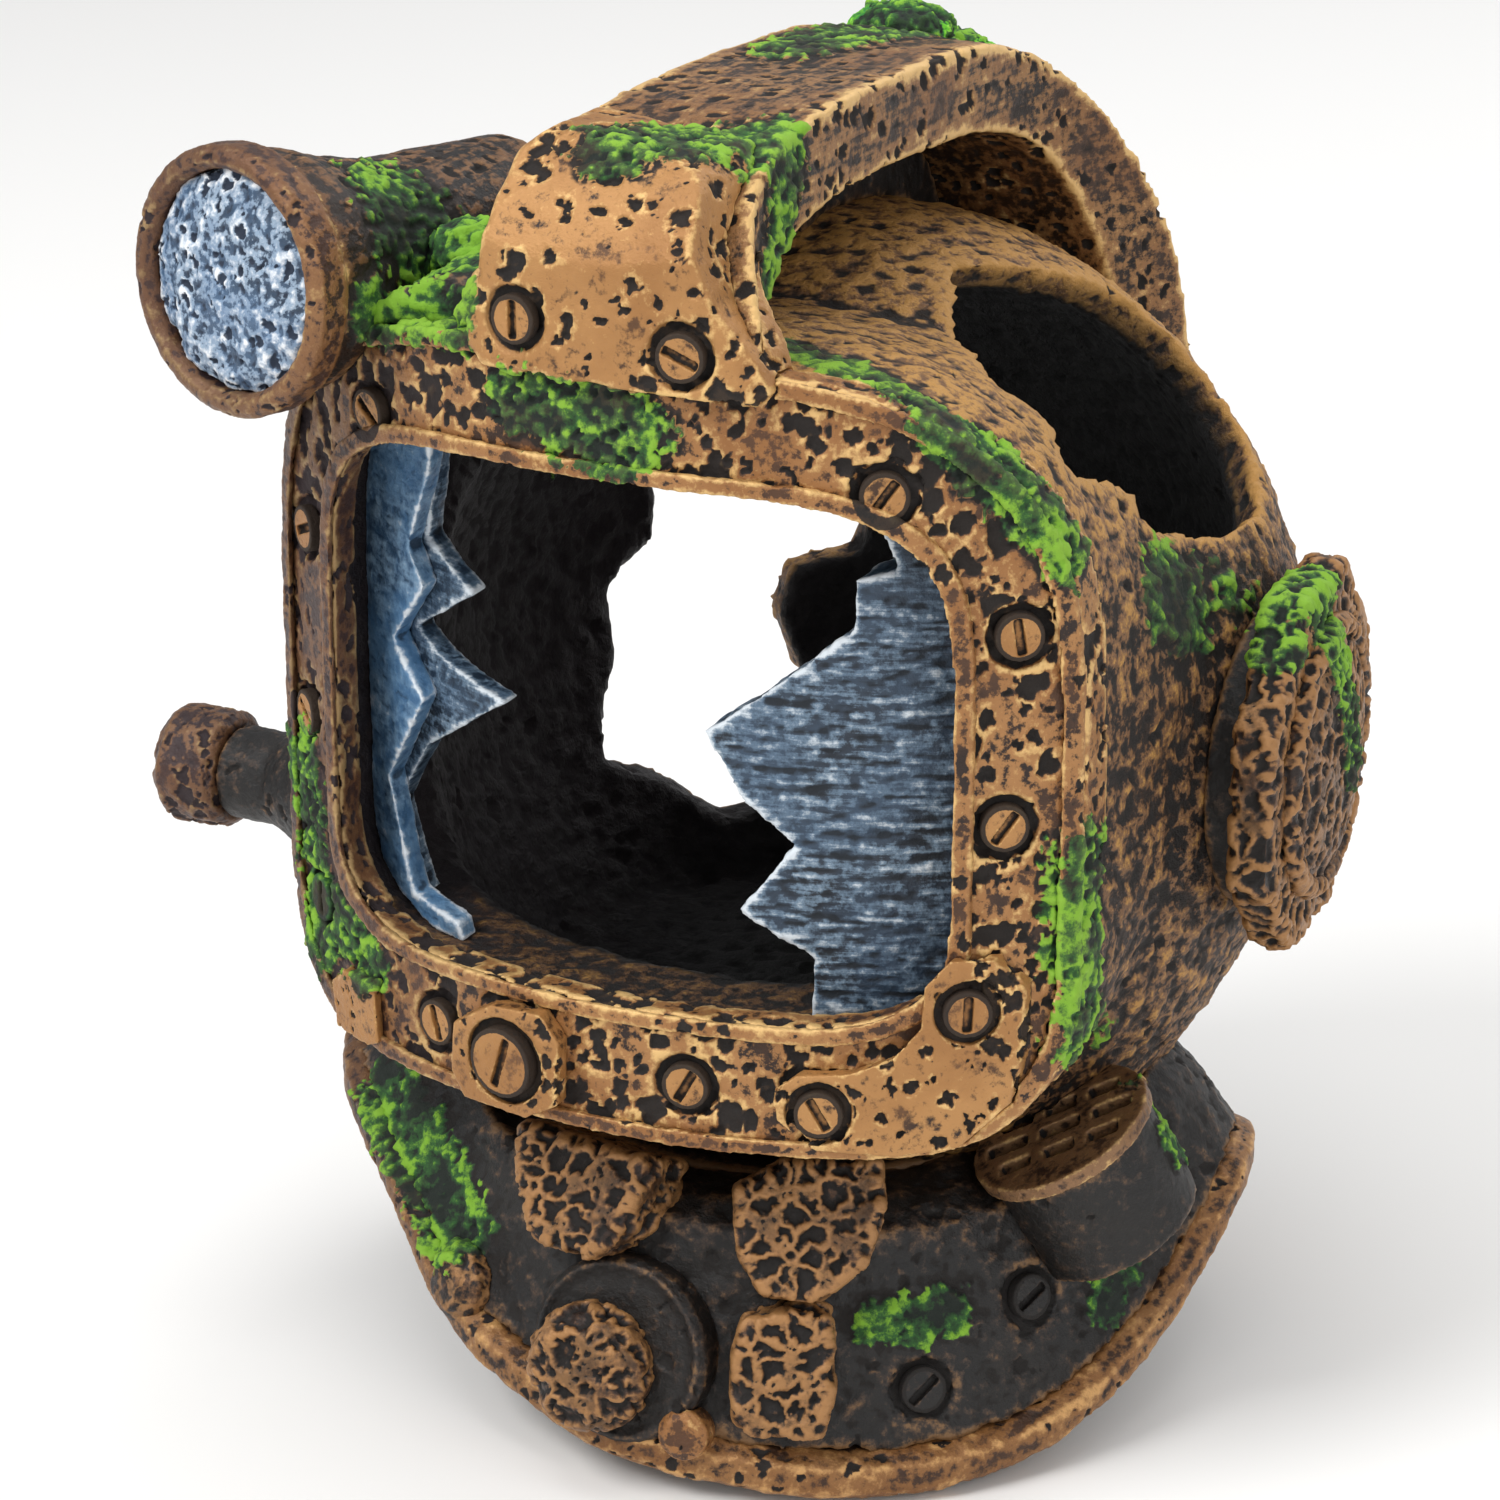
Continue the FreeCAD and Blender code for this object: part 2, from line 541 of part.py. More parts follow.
# eight-sided flange, its corners at the flange radius
eighth = [(math.cos(math.radians(22.5 + 45 * k)), math.sin(math.radians(22.5 + 45 * k)))
          for k in range(8)]
portFlangeBlank = padded("PortFlangeBlank", [
    ("%.6f * portFlangeRadius" % c, "%.6f * portFlangeRadius" % s) for c, s in eighth],
    "portFlangeThickness", None, None)
portFlangeBlank.Placement = Placement(
    Vector(0, size.portY, size.portLevel)
    + portTurn.multVec(Vector(0, 0, size.portReach - size.portFlangeThickness)), portTurn)
node(portFlangeBlank, "port_flange")
node(turned("PortRim", [
    ("portLensRadius", "portReach"), ("portRimRadius", "portReach"),
    ("portRimRadius", "portReach + 1.4"), ("portRimRadius - 0.6", "portReach + 2"),
    ("portLensRadius", "portReach + 2")], portAt, portTurn), "port_rim")
node(turned("PortDisc", [
    ("0", "portReach"), ("portLensRadius", "portReach"), ("portLensRadius", "portReach + 1.2"),
    ("0.8 * portLensRadius", "portReach + 0.75 * portLensCrown"),
    ("0.45 * portLensRadius", "portReach + 0.95 * portLensCrown"),
    ("0", "portReach + portLensCrown")], portAt, portTurn), "port_disc")

# ---- valve knob on the other side ------------------------------------------------------------

knobTurn = sideTurn(-90)
knobAt = ("0", "knobY", "knobLevel")
stemBlank = turned("StemBlank", [
    ("0", "windowHalfWidth + passageRoom + 4"), ("stemRadius + 3.4", "windowHalfWidth + passageRoom + 4"),
    ("stemRadius + 3.4", "domeRadius - 1"), ("stemRadius", "domeRadius + 6"),
    ("stemRadius", "knobReach - knobLength"), ("0", "knobReach - knobLength")], knobAt, knobTurn)
node(cut("KnobStem", stemBlank, helmetBulk), "knob_stem")
node(turned("SideKnob", [
    ("0", "knobReach - knobLength"), ("knobRadius - 1", "knobReach - knobLength"),
    ("knobRadius", "knobReach - knobLength + 1.2"), ("knobRadius", "knobReach - 1.6"),
    ("knobRadius - 1.4", "knobReach"), ("0", "knobReach")], knobAt, knobTurn), "side_knob")

# ---- broken panes --------------------------------------------------------------------------

# torn edges of the panes, from the upper end to the lower: (x, rise above the window's lower edge)
tornRight = [(27, 62), (27, 57), (29.7, 50), (25.6, 49), (25.2, 43), (19.8, 38.5), (9.6, 30.4),
             (13.4, 23.6), (19.4, 18), (13.4, 9.8), (21.5, 5), (21.5, -4)]
tornLeft = [(-26, 62), (-27.3, 53), (-31.4, 43), (-28.7, 39), (-34.8, 31), (-29.2, 25.4),
            (-36.5, 13.5), (-33.6, 5), (-32, 1), (-24, 0), (-22, -4)]
tornBehind = [(-27, 62), (-30.5, 43.5), (-22.6, 39), (-33, 32), (-29.1, 30), (-18, 27.4),
              (-31.5, 18), (-38.5, 8), (-34, 0), (-27.9, -4)]
edgeX = size.windowHalfWidth + 8


def pane(name, label, torn, outerX, frontDrum, backDrum):
    stretch = (size.windowHigh - size.windowLow) / 60.3
    points = [Vector(x, FRONT, size.windowLow + rise * stretch) for x, rise in torn]
    points += [Vector(outerX, FRONT, points[-1].z), Vector(outerX, FRONT, points[0].z)]
    blank = feature(name + "Blank", prism(straightLoop(points), Vector(0, 60, 0)))
    slab = cut(name + "Slab", common(name + "Drum", [blank, frontDrum]), backDrum)
    return node(common(name, [slab, passage]), label)


midPaneDrum = faceDrum("MidPaneDrum",
                       "faceRadius - frameThickness - paneSetback - 0.5 * paneThickness")
pane("PaneRight", "glass_right", tornRight, edgeX, paneFrontDrum, paneBackDrum)
pane("PaneLeft", "glass_left", tornLeft, -edgeX, paneFrontDrum, midPaneDrum)
pane("PaneLeftBack", "glass_left_rear", tornBehind, -edgeX, midPaneDrum, paneBackDrum)

# ---- corselet ------------------------------------------------------------------------------

# the torn rim every 15 degrees, from the front towards the port side: (radius, level)
rimLine = [(47.6, 3.7), (47.6, 2.2), (47.6, 1), (47.8, 0.9), (48, 2.6), (48.4, 7), (49.4, 13.6),
           (52.2, 21.5), (52.4, 20), (49.5, 11), (47.5, 4), (46, 1.2), (45.6, 0.8), (46, 1.2),
           (47, 4), (48.6, 11), (51.5, 19.5), (54.2, 25.5), (55, 28.5), (54.6, 29.5), (52.5, 27.5),
           (49, 20.5), (47.6, 11), (47.6, 7.2)]
# drawn for a neck of this radius; the whole breastplate follows the neck
DRAWN_NECK = 37.5
chestScale = size.neckRadius / DRAWN_NECK
rimLine = [(radius * chestScale, level) for radius, level in rimLine]


def ring(radiusOf, levelOf):
    points = []
    for k, (rimRadius, rimLevel) in enumerate(rimLine):
        angle = math.radians(15 * k - 90)
        radius = radiusOf(rimRadius)
        points.append(Vector(radius * math.cos(angle), radius * math.sin(angle),
                             levelOf(rimLevel)))
    return smoothLoop(points).Edges[0]


def hoop(name, rings):
    """A closed band all the way round, its section given by the rings in order."""
    faces = [Part.makeRuledSurface(a, b) for a, b in zip(rings, rings[1:] + rings[:1])]
    solid = Part.Solid(Part.Shell(faces))
    if solid.Volume < 0:
        solid.reverse()
    return feature(name, solid)


def between(share, near, far):
    return near + share * (far - near)


skinTop = size.neckLevel


def chestLevel(z):
    return between(0.42, z + size.rimHeight, skinTop + 4) + 0.15 * z


def shoulderLevel(z):
    return between(0.78, z + size.rimHeight, skinTop + 4) + 0.2 * z


rimTopOut = ring(lambda r: r, lambda z: z + size.rimHeight)
rimTopIn = ring(lambda r: r - size.corseletThickness, lambda z: z + size.rimHeight)
chestOut = ring(lambda r: between(0.55, size.neckRadius, r) + 1.2,
                chestLevel)
chestIn = ring(lambda r: between(0.55, size.neckRadius, r) + 1.2 - size.corseletThickness,
               lambda z: chestLevel(z) - 1)
shoulderOut = ring(lambda r: between(0.3, size.neckRadius, r) + 0.8,
                   shoulderLevel)
shoulderIn = ring(lambda r: between(0.3, size.neckRadius, r) - size.corseletThickness,
                  lambda z: min(shoulderLevel(z), skinTop) - 4)
neckOut = ring(lambda r: size.neckRadius, lambda z: skinTop)
neckIn = ring(lambda r: size.footRadius - 1, lambda z: skinTop)
collarIn = ring(lambda r: size.footRadius - 1, lambda z: skinTop - 7)

footCore = node(turned("BaseCore", [
    ("0", "0"), ("footRadius - 1.5", "0"), ("footRadius", "1.5"), ("footRadius", "neckLevel"),
    ("0", "neckLevel")], ("0", "0", "0"), Rotation()), "base_core")
corseletHoop = hoop("CorseletHoop", [rimTopIn, rimTopOut, chestOut, shoulderOut, neckOut, neckIn,
                                     collarIn, shoulderIn, chestIn])
corseletOnHelmet = cut("CorseletOnHelmet", corseletHoop, helmetBulk)
corseletSkin = cut("CorseletSkin", corseletOnHelmet, footCore)

rimLipOut = ring(lambda r: r + size.rimLip, lambda z: z + size.rimHeight - 1.2)
rimLipLow = ring(lambda r: r + size.rimLip, lambda z: z + 1)
rimLow = ring(lambda r: r + size.rimLip - 1, lambda z: z)
rimLowIn = ring(lambda r: r - size.rimWidth + 1, lambda z: z)
node(hoop("CorseletRim", [rimTopIn, rimTopOut, rimLipOut, rimLipLow, rimLow, rimLowIn]),
     "corselet_rim")


# ---- fittings on the corselet ----------------------------------------------------------------

def chestPlacement(angle, level, tilt, stand=0.0, aside=0.0):
    """A frame on the corselet: X sideways, Y up, Z outward and tilted up by tilt degrees."""
    k = angle / 15
    low = rimLine[math.floor(k) % 24]
    high = rimLine[math.ceil(k) % 24]
    rimRadius = between(k - math.floor(k), low[0], high[0])
    rimLevel = between(k - math.floor(k), low[1], high[1])
    steps = [(rimLevel + size.rimHeight, rimRadius),
             (chestLevel(rimLevel), between(0.55, size.neckRadius, rimRadius) + 1.2),
             (shoulderLevel(rimLevel), between(0.3, size.neckRadius, rimRadius) + 0.8),
             (size.beltLevel, size.neckRadius)]
    radius = rimRadius
    for (z1, r1), (z2, r2) in zip(steps, steps[1:]):
        if z1 < level <= z2:
            radius = between((level - z1) / (z2 - z1), r1, r2)
    turn = sideTurn(angle).multiply(Rotation(Vector(1, 0, 0), -tilt))
    foot = Vector(radius * math.sin(math.radians(angle)), -radius * math.cos(math.radians(angle)),
                  level)
    return Placement(foot + turn.multVec(Vector(aside, 0, stand)), turn)


underSkin = primitive("Cylinder", "UnderSkin", {
    "Radius": "neckRadius + 2.5", "Height": "neckLevel - 3"}, at=("0", "0", "0"))


def fitted(name, blank, where, label):
    """A fitting seated on the corselet: whatever would reach into a neighbour is cut away."""
    blank.Placement = where
    seated = cut(name + "OnSkin", blank, corseletSkin)
    offCore = cut(name + "OffInside", seated, underSkin)
    return node(mainSolid(name, cut(name + "OffHelmet", offCore, helmetBulk)), label)


drumWhere = chestPlacement(0.5, size.gaugeLevel + 1.5, 12)
regulatorDrum = fitted("RegulatorDrum", turned("DrumBlank", [
    ("0", "-2.5"), ("gaugeRadius", "-2.5"), ("gaugeRadius", "1.6"),
    ("gaugeRadius - gaugeRimWidth * 0.4", "2.2 + gaugeRimHeight * 0.4"),
    ("gaugeRadius - gaugeRimWidth", "2.2"), ("0", "2.2")], None, None), drumWhere, "regulator_drum")
knobWhere = Placement(drumWhere.multVec(Vector(-2.6, -2.2, 0)), drumWhere.Rotation)
regulatorKnob = turned("RegulatorKnob", [
    ("0", "2.2"), ("gaugeKnobRadius", "2.2"), ("gaugeKnobRadius", "0.6 + gaugeKnobHeight"),
    ("gaugeKnobRadius - 1.6", "2.2 + gaugeKnobHeight"), ("0", "2.2 + gaugeKnobHeight")], None, None)
regulatorKnob.Placement = knobWhere
node(regulatorKnob, "regulator_knob")
studBlank = turned("StudBlank", [
    ("0", "-1.3"), ("studRadius", "-1.3"), ("studRadius", "3"), ("studRadius - 1", "3.8"),
    ("0", "3.8")],
    None, None)
studWhere = chestPlacement(11, 8.5, 12)
studBlank.Placement = studWhere
studOnSkin = cut("StudOnSkin", studBlank, corseletSkin)
node(cut("RegulatorStud", cut("StudOffDrum", studOnSkin, regulatorDrum), regulatorKnob),
     "regulator_stud")

hoseBlock = fitted("HoseBlock", padded("HoseBlockBlank", [
    ("-5", "-6.2"), ("-2.6", "-7.2"), ("4.2", "-7"), ("5.2", "-2"), ("4.8", "6"), ("2", "7.2"),
    ("-4.2", "5.4"), ("-5.2", "1")], "7", None, None), chestPlacement(24, 16.5, 12, -2.4),
    "hose_block")
pouchLeft = fitted("PouchLeft", padded("PouchLeftBlank", [
    ("-9", "5.5"), ("-7.4", "-0.5"), ("-3.6", "-6.2"), ("3.8", "-6.4"), ("7.6", "-2"), ("8.6", "5.5")],
    "8.5", None, None), chestPlacement(-8, 32.5, 24, -3.4), "pouch_left")
pouchRight = fitted("PouchRight", padded("PouchRightBlank", [
    ("-7.4", "4.5"), ("-7", "-2.6"), ("-4.5", "-7"), ("1.6", "-7.4"), ("6.4", "-3.5"), ("8.4", "3"),
    ("8", "7.5"), ("-2", "7.5")], "8.5", None, None), chestPlacement(27, 31.5, 24, -3.4),
    "pouch_right")
lugBlank = turned("LugBlank", [
    ("0", "-2.4"), ("5", "-2.4"), ("4.6", "1"), ("3", "2.8"), ("0", "3.2")], None, None)
fitted("SideLug", lugBlank, chestPlacement(-30, 17, 12), "side_lug")

ventTurn = Rotation(Vector(0, 0, 1), Vector(-0.38, -0.3, 0.875))
ventWhere = Placement(Vector(40 * chestScale, -14.5, size.neckLevel + 6.5), ventTurn)
fitted("VentCan", turned("VentCanBlank", [
    ("0", "-ventHeight"), ("ventRadius - 0.8", "-ventHeight"), ("ventRadius - 0.8", "-grilleThickness"),
    ("0", "-grilleThickness")], None, None), ventWhere, "vent_can")
grilleDisc = Part.makeCylinder(size.ventRadius, size.grilleThickness,
                               Vector(0, 0, -size.grilleThickness))
# three rows of three long holes, turned to lie along the shoulder
for row in (-1, 0, 1):
    for column in (-1, 0, 1):
        length = 5.2 if row == 0 else 4
        slot = Part.makeBox(length, 2.4, 5, Vector(-length / 2, -1.2, -4))
        slot.translate(Vector(column * (length + 1.5), row * 4.4, 0))
        grilleDisc = grilleDisc.cut(slot)
fitted("VentGrille", feature("GrilleDisc", grilleDisc),
       Placement(ventWhere.Base, ventTurn.multiply(Rotation(Vector(0, 0, 1), 20))), "vent_grille")

corseletScrews = [(62.5, 20.5, 25), (44, 12.6, 40)]
heads = []
seats = []
for angle, level, slotAngle in corseletScrews:
    where = chestPlacement(angle, level, 14)
    where = Placement(where.Base, where.Rotation.multiply(Rotation(Vector(0, 0, 1), slotAngle)))
    head = screwHead(size.screwHeadRadius, size.screwHeadHeight)
    seat = screwSeat(size.screwHeadRadius)
    head.Placement = where
    seat.Placement = where
    heads.append(head)
    seats.append(seat)
node(feature("CorseletScrews", Part.makeCompound(heads)), "corselet_screws")
node(cut("Corselet", corseletSkin, feature("CorseletScrewSeats", Part.makeCompound(seats))),
     "corselet")

# ---- raised tufts of moss ----------------------------------------------------------------------


def tufts(name, label, spots, neighbours):
    """Low rounded pads: (centre, long radius, turn about Z), seated on their neighbours."""
    pads = []
    for k, (centre, radius, turn) in enumerate(spots):
        pad = primitive("Ellipsoid", "%s%d" % (name, k), {
            "Radius1": "1.4 * mossThickness", "Radius2": str(radius), "Radius3": str(0.7 * radius)})
        pad.Placement = Placement(centre, turn)
        pads.append(pad)
    group = fuse(name + "Pads", pads)
    for k, neighbour in enumerate(neighbours):
        group = cut("%sOff%d" % (name, k), group, neighbour)
    return node(group, label)


tufts("CrownMoss", "moss_crown", [
    (Vector(-16, -30, size.lampLevel + 3), 6, Rotation(Vector(0, 1, 0), -8)),
    (Vector(-24, -33, size.lampLevel + 1.4), 5.5, Rotation(Vector(0, 1, 0), -10))],
    [lampSaddle, lampBarrel, crestHandle, browPlate])
tufts("CrestMoss", "moss_crest", [
    (Vector(-1, 27, crestLevel(3)), 6.5, Rotation(Vector(1, 0, 0), -12)),
    (Vector(2, 36, crestLevel(8)), 6.5, Rotation(Vector(1, 0, 0), -32))], [crestHandle])

# ---- finish ------------------------------------------------------------------------------------

doc.recompute()
for item in doc.Objects:
    broken = [word for word in ("Invalid", "Error") if word in item.State]
    if broken:
        raise RuntimeError("%s: %s" % (item.Name, broken))
    if hasattr(item, "Shape") and not item.isDerivedFrom("App::OriginFeature"):
        if item.Shape.isNull() or not item.Shape.isValid():
            raise RuntimeError("%s has no sound shape" % item.Name)
os.makedirs("parts", exist_ok=True)
for item in nodes:
    solids = item.Shape.Solids
    if not solids or any(solid.Volume <= 0 for solid in solids):
        raise RuntimeError("%s has no solid" % item.Label)
    item.Shape.exportStep("parts/%s.step" % item.Label)
    print(item.Label, len(solids), round(item.Shape.Volume))
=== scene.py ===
import math
import bpy
import bmesh
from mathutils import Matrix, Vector


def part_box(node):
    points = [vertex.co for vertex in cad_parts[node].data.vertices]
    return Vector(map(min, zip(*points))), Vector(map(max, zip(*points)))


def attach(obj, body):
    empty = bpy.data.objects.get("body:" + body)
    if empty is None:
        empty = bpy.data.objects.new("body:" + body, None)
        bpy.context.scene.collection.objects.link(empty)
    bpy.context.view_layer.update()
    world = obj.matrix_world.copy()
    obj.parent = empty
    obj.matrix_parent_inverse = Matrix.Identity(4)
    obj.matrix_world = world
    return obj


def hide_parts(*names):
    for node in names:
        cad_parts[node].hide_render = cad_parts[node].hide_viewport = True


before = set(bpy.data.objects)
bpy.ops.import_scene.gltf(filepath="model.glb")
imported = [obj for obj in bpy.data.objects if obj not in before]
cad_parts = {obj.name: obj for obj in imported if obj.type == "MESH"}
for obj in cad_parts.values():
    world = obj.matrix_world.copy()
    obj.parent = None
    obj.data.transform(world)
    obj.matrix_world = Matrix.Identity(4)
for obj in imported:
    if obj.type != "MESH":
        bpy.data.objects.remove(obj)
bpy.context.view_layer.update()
mm = 0.001
mmInMetre = 1000.0
weldWithin = 0.002 * mm
# near-black painted shade for the inside of the cave
caveShadeBlack = "#0C0B0B"
print("frame loaded:", len(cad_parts), "nodes")


# a hex colour as painted, turned to linear light
def paint(hexText):
    parts = [int(hexText[i:i + 2], 16) / 255 for i in (1, 3, 5)]
    return tuple(c / 12.92 if c <= 0.04045 else ((c + 0.055) / 1.055) ** 2.4 for c in parts) + (1.0,)


# adds a node, sets its options, then sets or links each named input
def addNode(tree, kind, inputs=None, **settings):
    node = tree.nodes.new(kind)
    for option, value in settings.items():
        setattr(node, option, value)
    for key, value in (inputs or {}).items():
        if isinstance(key, int):
            socket = node.inputs[key]
        else:
            socket = [s for s in node.inputs if s.name == key and s.enabled][0]
        if isinstance(value, bpy.types.Node):
            value = [s for s in value.outputs if s.enabled][0]
        if isinstance(value, bpy.types.NodeSocket):
            tree.links.new(value, socket)
        else:
            socket.default_value = value
    return node


# where moss was brushed on the casting: from, to and reach, in mm
mossStrokes = [
    ((1, -45, 158), (12, -32, 156), 7.5),       # over the brow plate to the crest
    ((13, -31, 155), (15, -36, 140), 5),        # down the crest's port side
    ((-32, -36, 143), (-17, -37, 141), 10),     # saddle between lamp and brow
    ((-28, -46, 135), (-14, -50, 138), 5),
    ((-7, -52, 130), (5, -52, 128), 6.5),       # under the brow plate
    ((16, -37, 136), (36, -41, 131), 4.5),      # along the top of the window frame
    ((36, -41, 131), (48, -34, 116), 5),
    ((50, -10, 104), (58, 12, 100), 7.5),       # over the port
    ((60, 10, 97), (62, 19, 76), 4.5),
    ((50, -6, 99), (58, 1, 96), 5),
    ((50, -32, 80), (50, -31, 60), 6.5),        # down the frame's port side
    ((50, -28, 60), (46, -12, 48), 5.5),
    ((-46, -36, 78), (-43, -39, 56), 5.5),      # round the knob
    ((-43, -39, 62), (-33, -45, 57), 5),
    ((-41, -30, 34), (-25, -39, 23), 7),        # corselet
    ((26, -34, 20), (34, -29, 21), 4),
    ((46, -12, 17), (46, -8, 21), 4),
    ((53, -2, 38), (45, -17, 35), 4.5),
    ((-3, 2, 159), (1, 34, 152), 7),            # top of the crest
    ((-50, 24, 100), (-44, 34, 112), 8),        # far side and back
    ((12, 62, 60), (24, 58, 52), 9),
    ((-24, 40, 118), (-12, 48, 116), 7),
]


# one tree puts the cast relief on every piece: lumps, grain, pits, a raised net and moss,
# and stores what the paint needs to know: pit, moss, net, painted cave shade and ridge
def buildReliefTree():
    tree = bpy.data.node_groups.new("castRelief", "GeometryNodeTree")
    face = tree.interface
    face.new_socket("Geometry", in_out="INPUT", socket_type="NodeSocketGeometry")
    for name, value in (("Lump Size", 9.0), ("Lump Height", 0.5), ("Grain Size", 1.6),
                        ("Grain Height", 0.15), ("Pit Spacing", 2.6), ("Pit Radius", 0.9),
                        ("Pit Depth", 0.45), ("Pit Share", 0.5), ("Net Size", 3.0),
                        ("Net Width", 0.6), ("Net Height", 0.0), ("Moss Height", 0.9),
                        ("Ridge Gain", 3.0), ("Seed", 1.0)):
        face.new_socket(name, in_out="INPUT", socket_type="NodeSocketFloat").default_value = value
    face.new_socket("Stretch", in_out="INPUT", socket_type="NodeSocketVector").default_value = (1, 1, 1)
    face.new_socket("Ridge Steps", in_out="INPUT", socket_type="NodeSocketInt").default_value = 8
    face.new_socket("Cave", in_out="INPUT", socket_type="NodeSocketFloat").default_value = 0.0
    face.new_socket("Heads", in_out="INPUT", socket_type="NodeSocketObject")
    face.new_socket("Material", in_out="INPUT", socket_type="NodeSocketMaterial")
    face.new_socket("Geometry", in_out="OUTPUT", socket_type="NodeSocketGeometry")
    given = addNode(tree, "NodeGroupInput").outputs
    place = addNode(tree, "GeometryNodeInputPosition")
    normal = addNode(tree, "GeometryNodeInputNormal")
    inMm = addNode(tree, "ShaderNodeVectorMath", {0: place, 3: mmInMetre}, operation="SCALE")
    shift = addNode(tree, "ShaderNodeCombineXYZ",
                    {0: given["Seed"], 1: given["Seed"], 2: given["Seed"]})
    moved = addNode(tree, "ShaderNodeVectorMath", {0: inMm, 1: shift}, operation="ADD")
    stretched = addNode(tree, "ShaderNodeVectorMath", {0: moved, 1: given["Stretch"]},
                        operation="MULTIPLY")

    # lumps and grain
    perLump = addNode(tree, "ShaderNodeMath", {0: 1.0, 1: given["Lump Size"]}, operation="DIVIDE")
    lumpNoise = addNode(tree, "ShaderNodeTexNoise", {"Vector": moved, "Scale": perLump, "Detail": 2.0})
    lump = addNode(tree, "ShaderNodeMath", {0: lumpNoise.outputs[0], 1: 0.5}, operation="SUBTRACT")
    lumpUp = addNode(tree, "ShaderNodeMath", {0: lump, 1: given["Lump Height"]}, operation="MULTIPLY")
    perGrain = addNode(tree, "ShaderNodeMath", {0: 1.0, 1: given["Grain Size"]}, operation="DIVIDE")
    grainNoise = addNode(tree, "ShaderNodeTexNoise",
                         {"Vector": stretched, "Scale": perGrain, "Detail": 3.0, "Roughness": 0.65})
    grain = addNode(tree, "ShaderNodeMath", {0: grainNoise.outputs[0], 1: 0.5}, operation="SUBTRACT")
    grainUp = addNode(tree, "ShaderNodeMath", {0: grain, 1: given["Grain Height"]},
                      operation="MULTIPLY")

    # pits: round cells, ragged by noise, only in a share of the cells and in patches
    perPit = addNode(tree, "ShaderNodeMath", {0: 1.0, 1: given["Pit Spacing"]}, operation="DIVIDE")
    ragged = addNode(tree, "ShaderNodeTexNoise", {"Vector": moved, "Scale": 0.7, "Detail": 2.0})
    raggedPlace = addNode(tree, "ShaderNodeVectorMath",
                          {0: ragged.outputs["Color"], 1: (2.6, 2.6, 2.6), 2: moved},
                          operation="MULTIPLY_ADD")
    cells = addNode(tree, "ShaderNodeTexVoronoi", {"Vector": raggedPlace, "Scale": perPit})
    cellReach = addNode(tree, "ShaderNodeMath", {0: cells.outputs["Distance"], 1: given["Pit Spacing"]},
                        operation="MULTIPLY")
    sizes = addNode(tree, "ShaderNodeTexNoise", {"Vector": moved, "Scale": 0.17, "Detail": 1.0})
    sizeTurn = addNode(tree, "ShaderNodeMapRange",
                       {"Value": sizes.outputs[0], "From Min": 0.35, "From Max": 0.65, "To Min": 0.6,
                        "To Max": 1.5})
    outer = addNode(tree, "ShaderNodeMath", {0: given["Pit Radius"], 1: sizeTurn}, operation="MULTIPLY")
    inner = addNode(tree, "ShaderNodeMath", {0: outer, 1: 0.6}, operation="MULTIPLY")
    pitShape = addNode(tree, "ShaderNodeMapRange",
                       {"Value": cellReach, "From Min": outer, "From Max": inner},
                       interpolation_type="SMOOTHSTEP")
    drawn = addNode(tree, "ShaderNodeSeparateXYZ", {0: cells.outputs["Color"]})
    patchy = addNode(tree, "ShaderNodeTexNoise", {"Vector": moved, "Scale": 0.06, "Detail": 1.0})
    patchyTurn = addNode(tree, "ShaderNodeMath", {0: patchy.outputs[0], 1: 1.6, 2: -0.8},
                         operation="MULTIPLY_ADD")
    bar = addNode(tree, "ShaderNodeMath", {0: given["Pit Share"], 1: patchyTurn}, operation="ADD")
    chosen = addNode(tree, "ShaderNodeMath", {0: drawn.outputs[0], 1: bar}, operation="LESS_THAN")
    pit = addNode(tree, "ShaderNodeMath", {0: pitShape, 1: chosen}, operation="MULTIPLY")
    pitDown = addNode(tree, "ShaderNodeMath", {0: pit, 1: given["Pit Depth"]}, operation="MULTIPLY")

    # black ring round the nearest slotted head
    heads = addNode(tree, "GeometryNodeObjectInfo", {"Object": given["Heads"]}).outputs["Geometry"]
    nearest = addNode(tree, "GeometryNodeSampleNearest", {"Geometry": heads}, domain="POINT")
    headAt = addNode(tree, "GeometryNodeSampleIndex",
                     {"Geometry": heads, "Value": place, "Index": nearest},
                     data_type="FLOAT_VECTOR")
    headSize = addNode(tree, "GeometryNodeInputNamedAttribute", {"Name": "headRadius"})
    headReach = addNode(tree, "GeometryNodeSampleIndex",
                        {"Geometry": heads, "Value": headSize, "Index": nearest})
    fromHead = addNode(tree, "ShaderNodeVectorMath", {0: place, 1: headAt}, operation="DISTANCE")
    fromEdge = addNode(tree, "ShaderNodeMath", {0: fromHead.outputs["Value"], 1: headReach},
                       operation="SUBTRACT")
    fromEdgeMm = addNode(tree, "ShaderNodeMath", {0: fromEdge, 1: mmInMetre, 2: -0.1},
                         operation="MULTIPLY_ADD")
    ringWay = addNode(tree, "ShaderNodeMath", {0: fromEdgeMm}, operation="ABSOLUTE")
    ring = addNode(tree, "ShaderNodeMapRange", {"Value": ringWay, "From Min": 0.7, "From Max": 0.45})
    pitOrRing = addNode(tree, "ShaderNodeMath", {0: pit, 1: ring}, operation="MAXIMUM")

    # painted shade inside the cave: faces that look towards its middle
    outOfCave = addNode(tree, "ShaderNodeVectorMath", {0: inMm, 1: caveMiddle}, operation="SUBTRACT")
    outAxis = addNode(tree, "ShaderNodeVectorMath", {0: outOfCave}, operation="NORMALIZE")
    looksOut = addNode(tree, "ShaderNodeVectorMath", {0: outAxis, 1: normal}, operation="DOT_PRODUCT")
    caveShadeShare = addNode(tree, "ShaderNodeMapRange",
                      {"Value": looksOut.outputs["Value"], "From Min": -0.2, "From Max": -0.5,
                       "To Max": given["Cave"]})

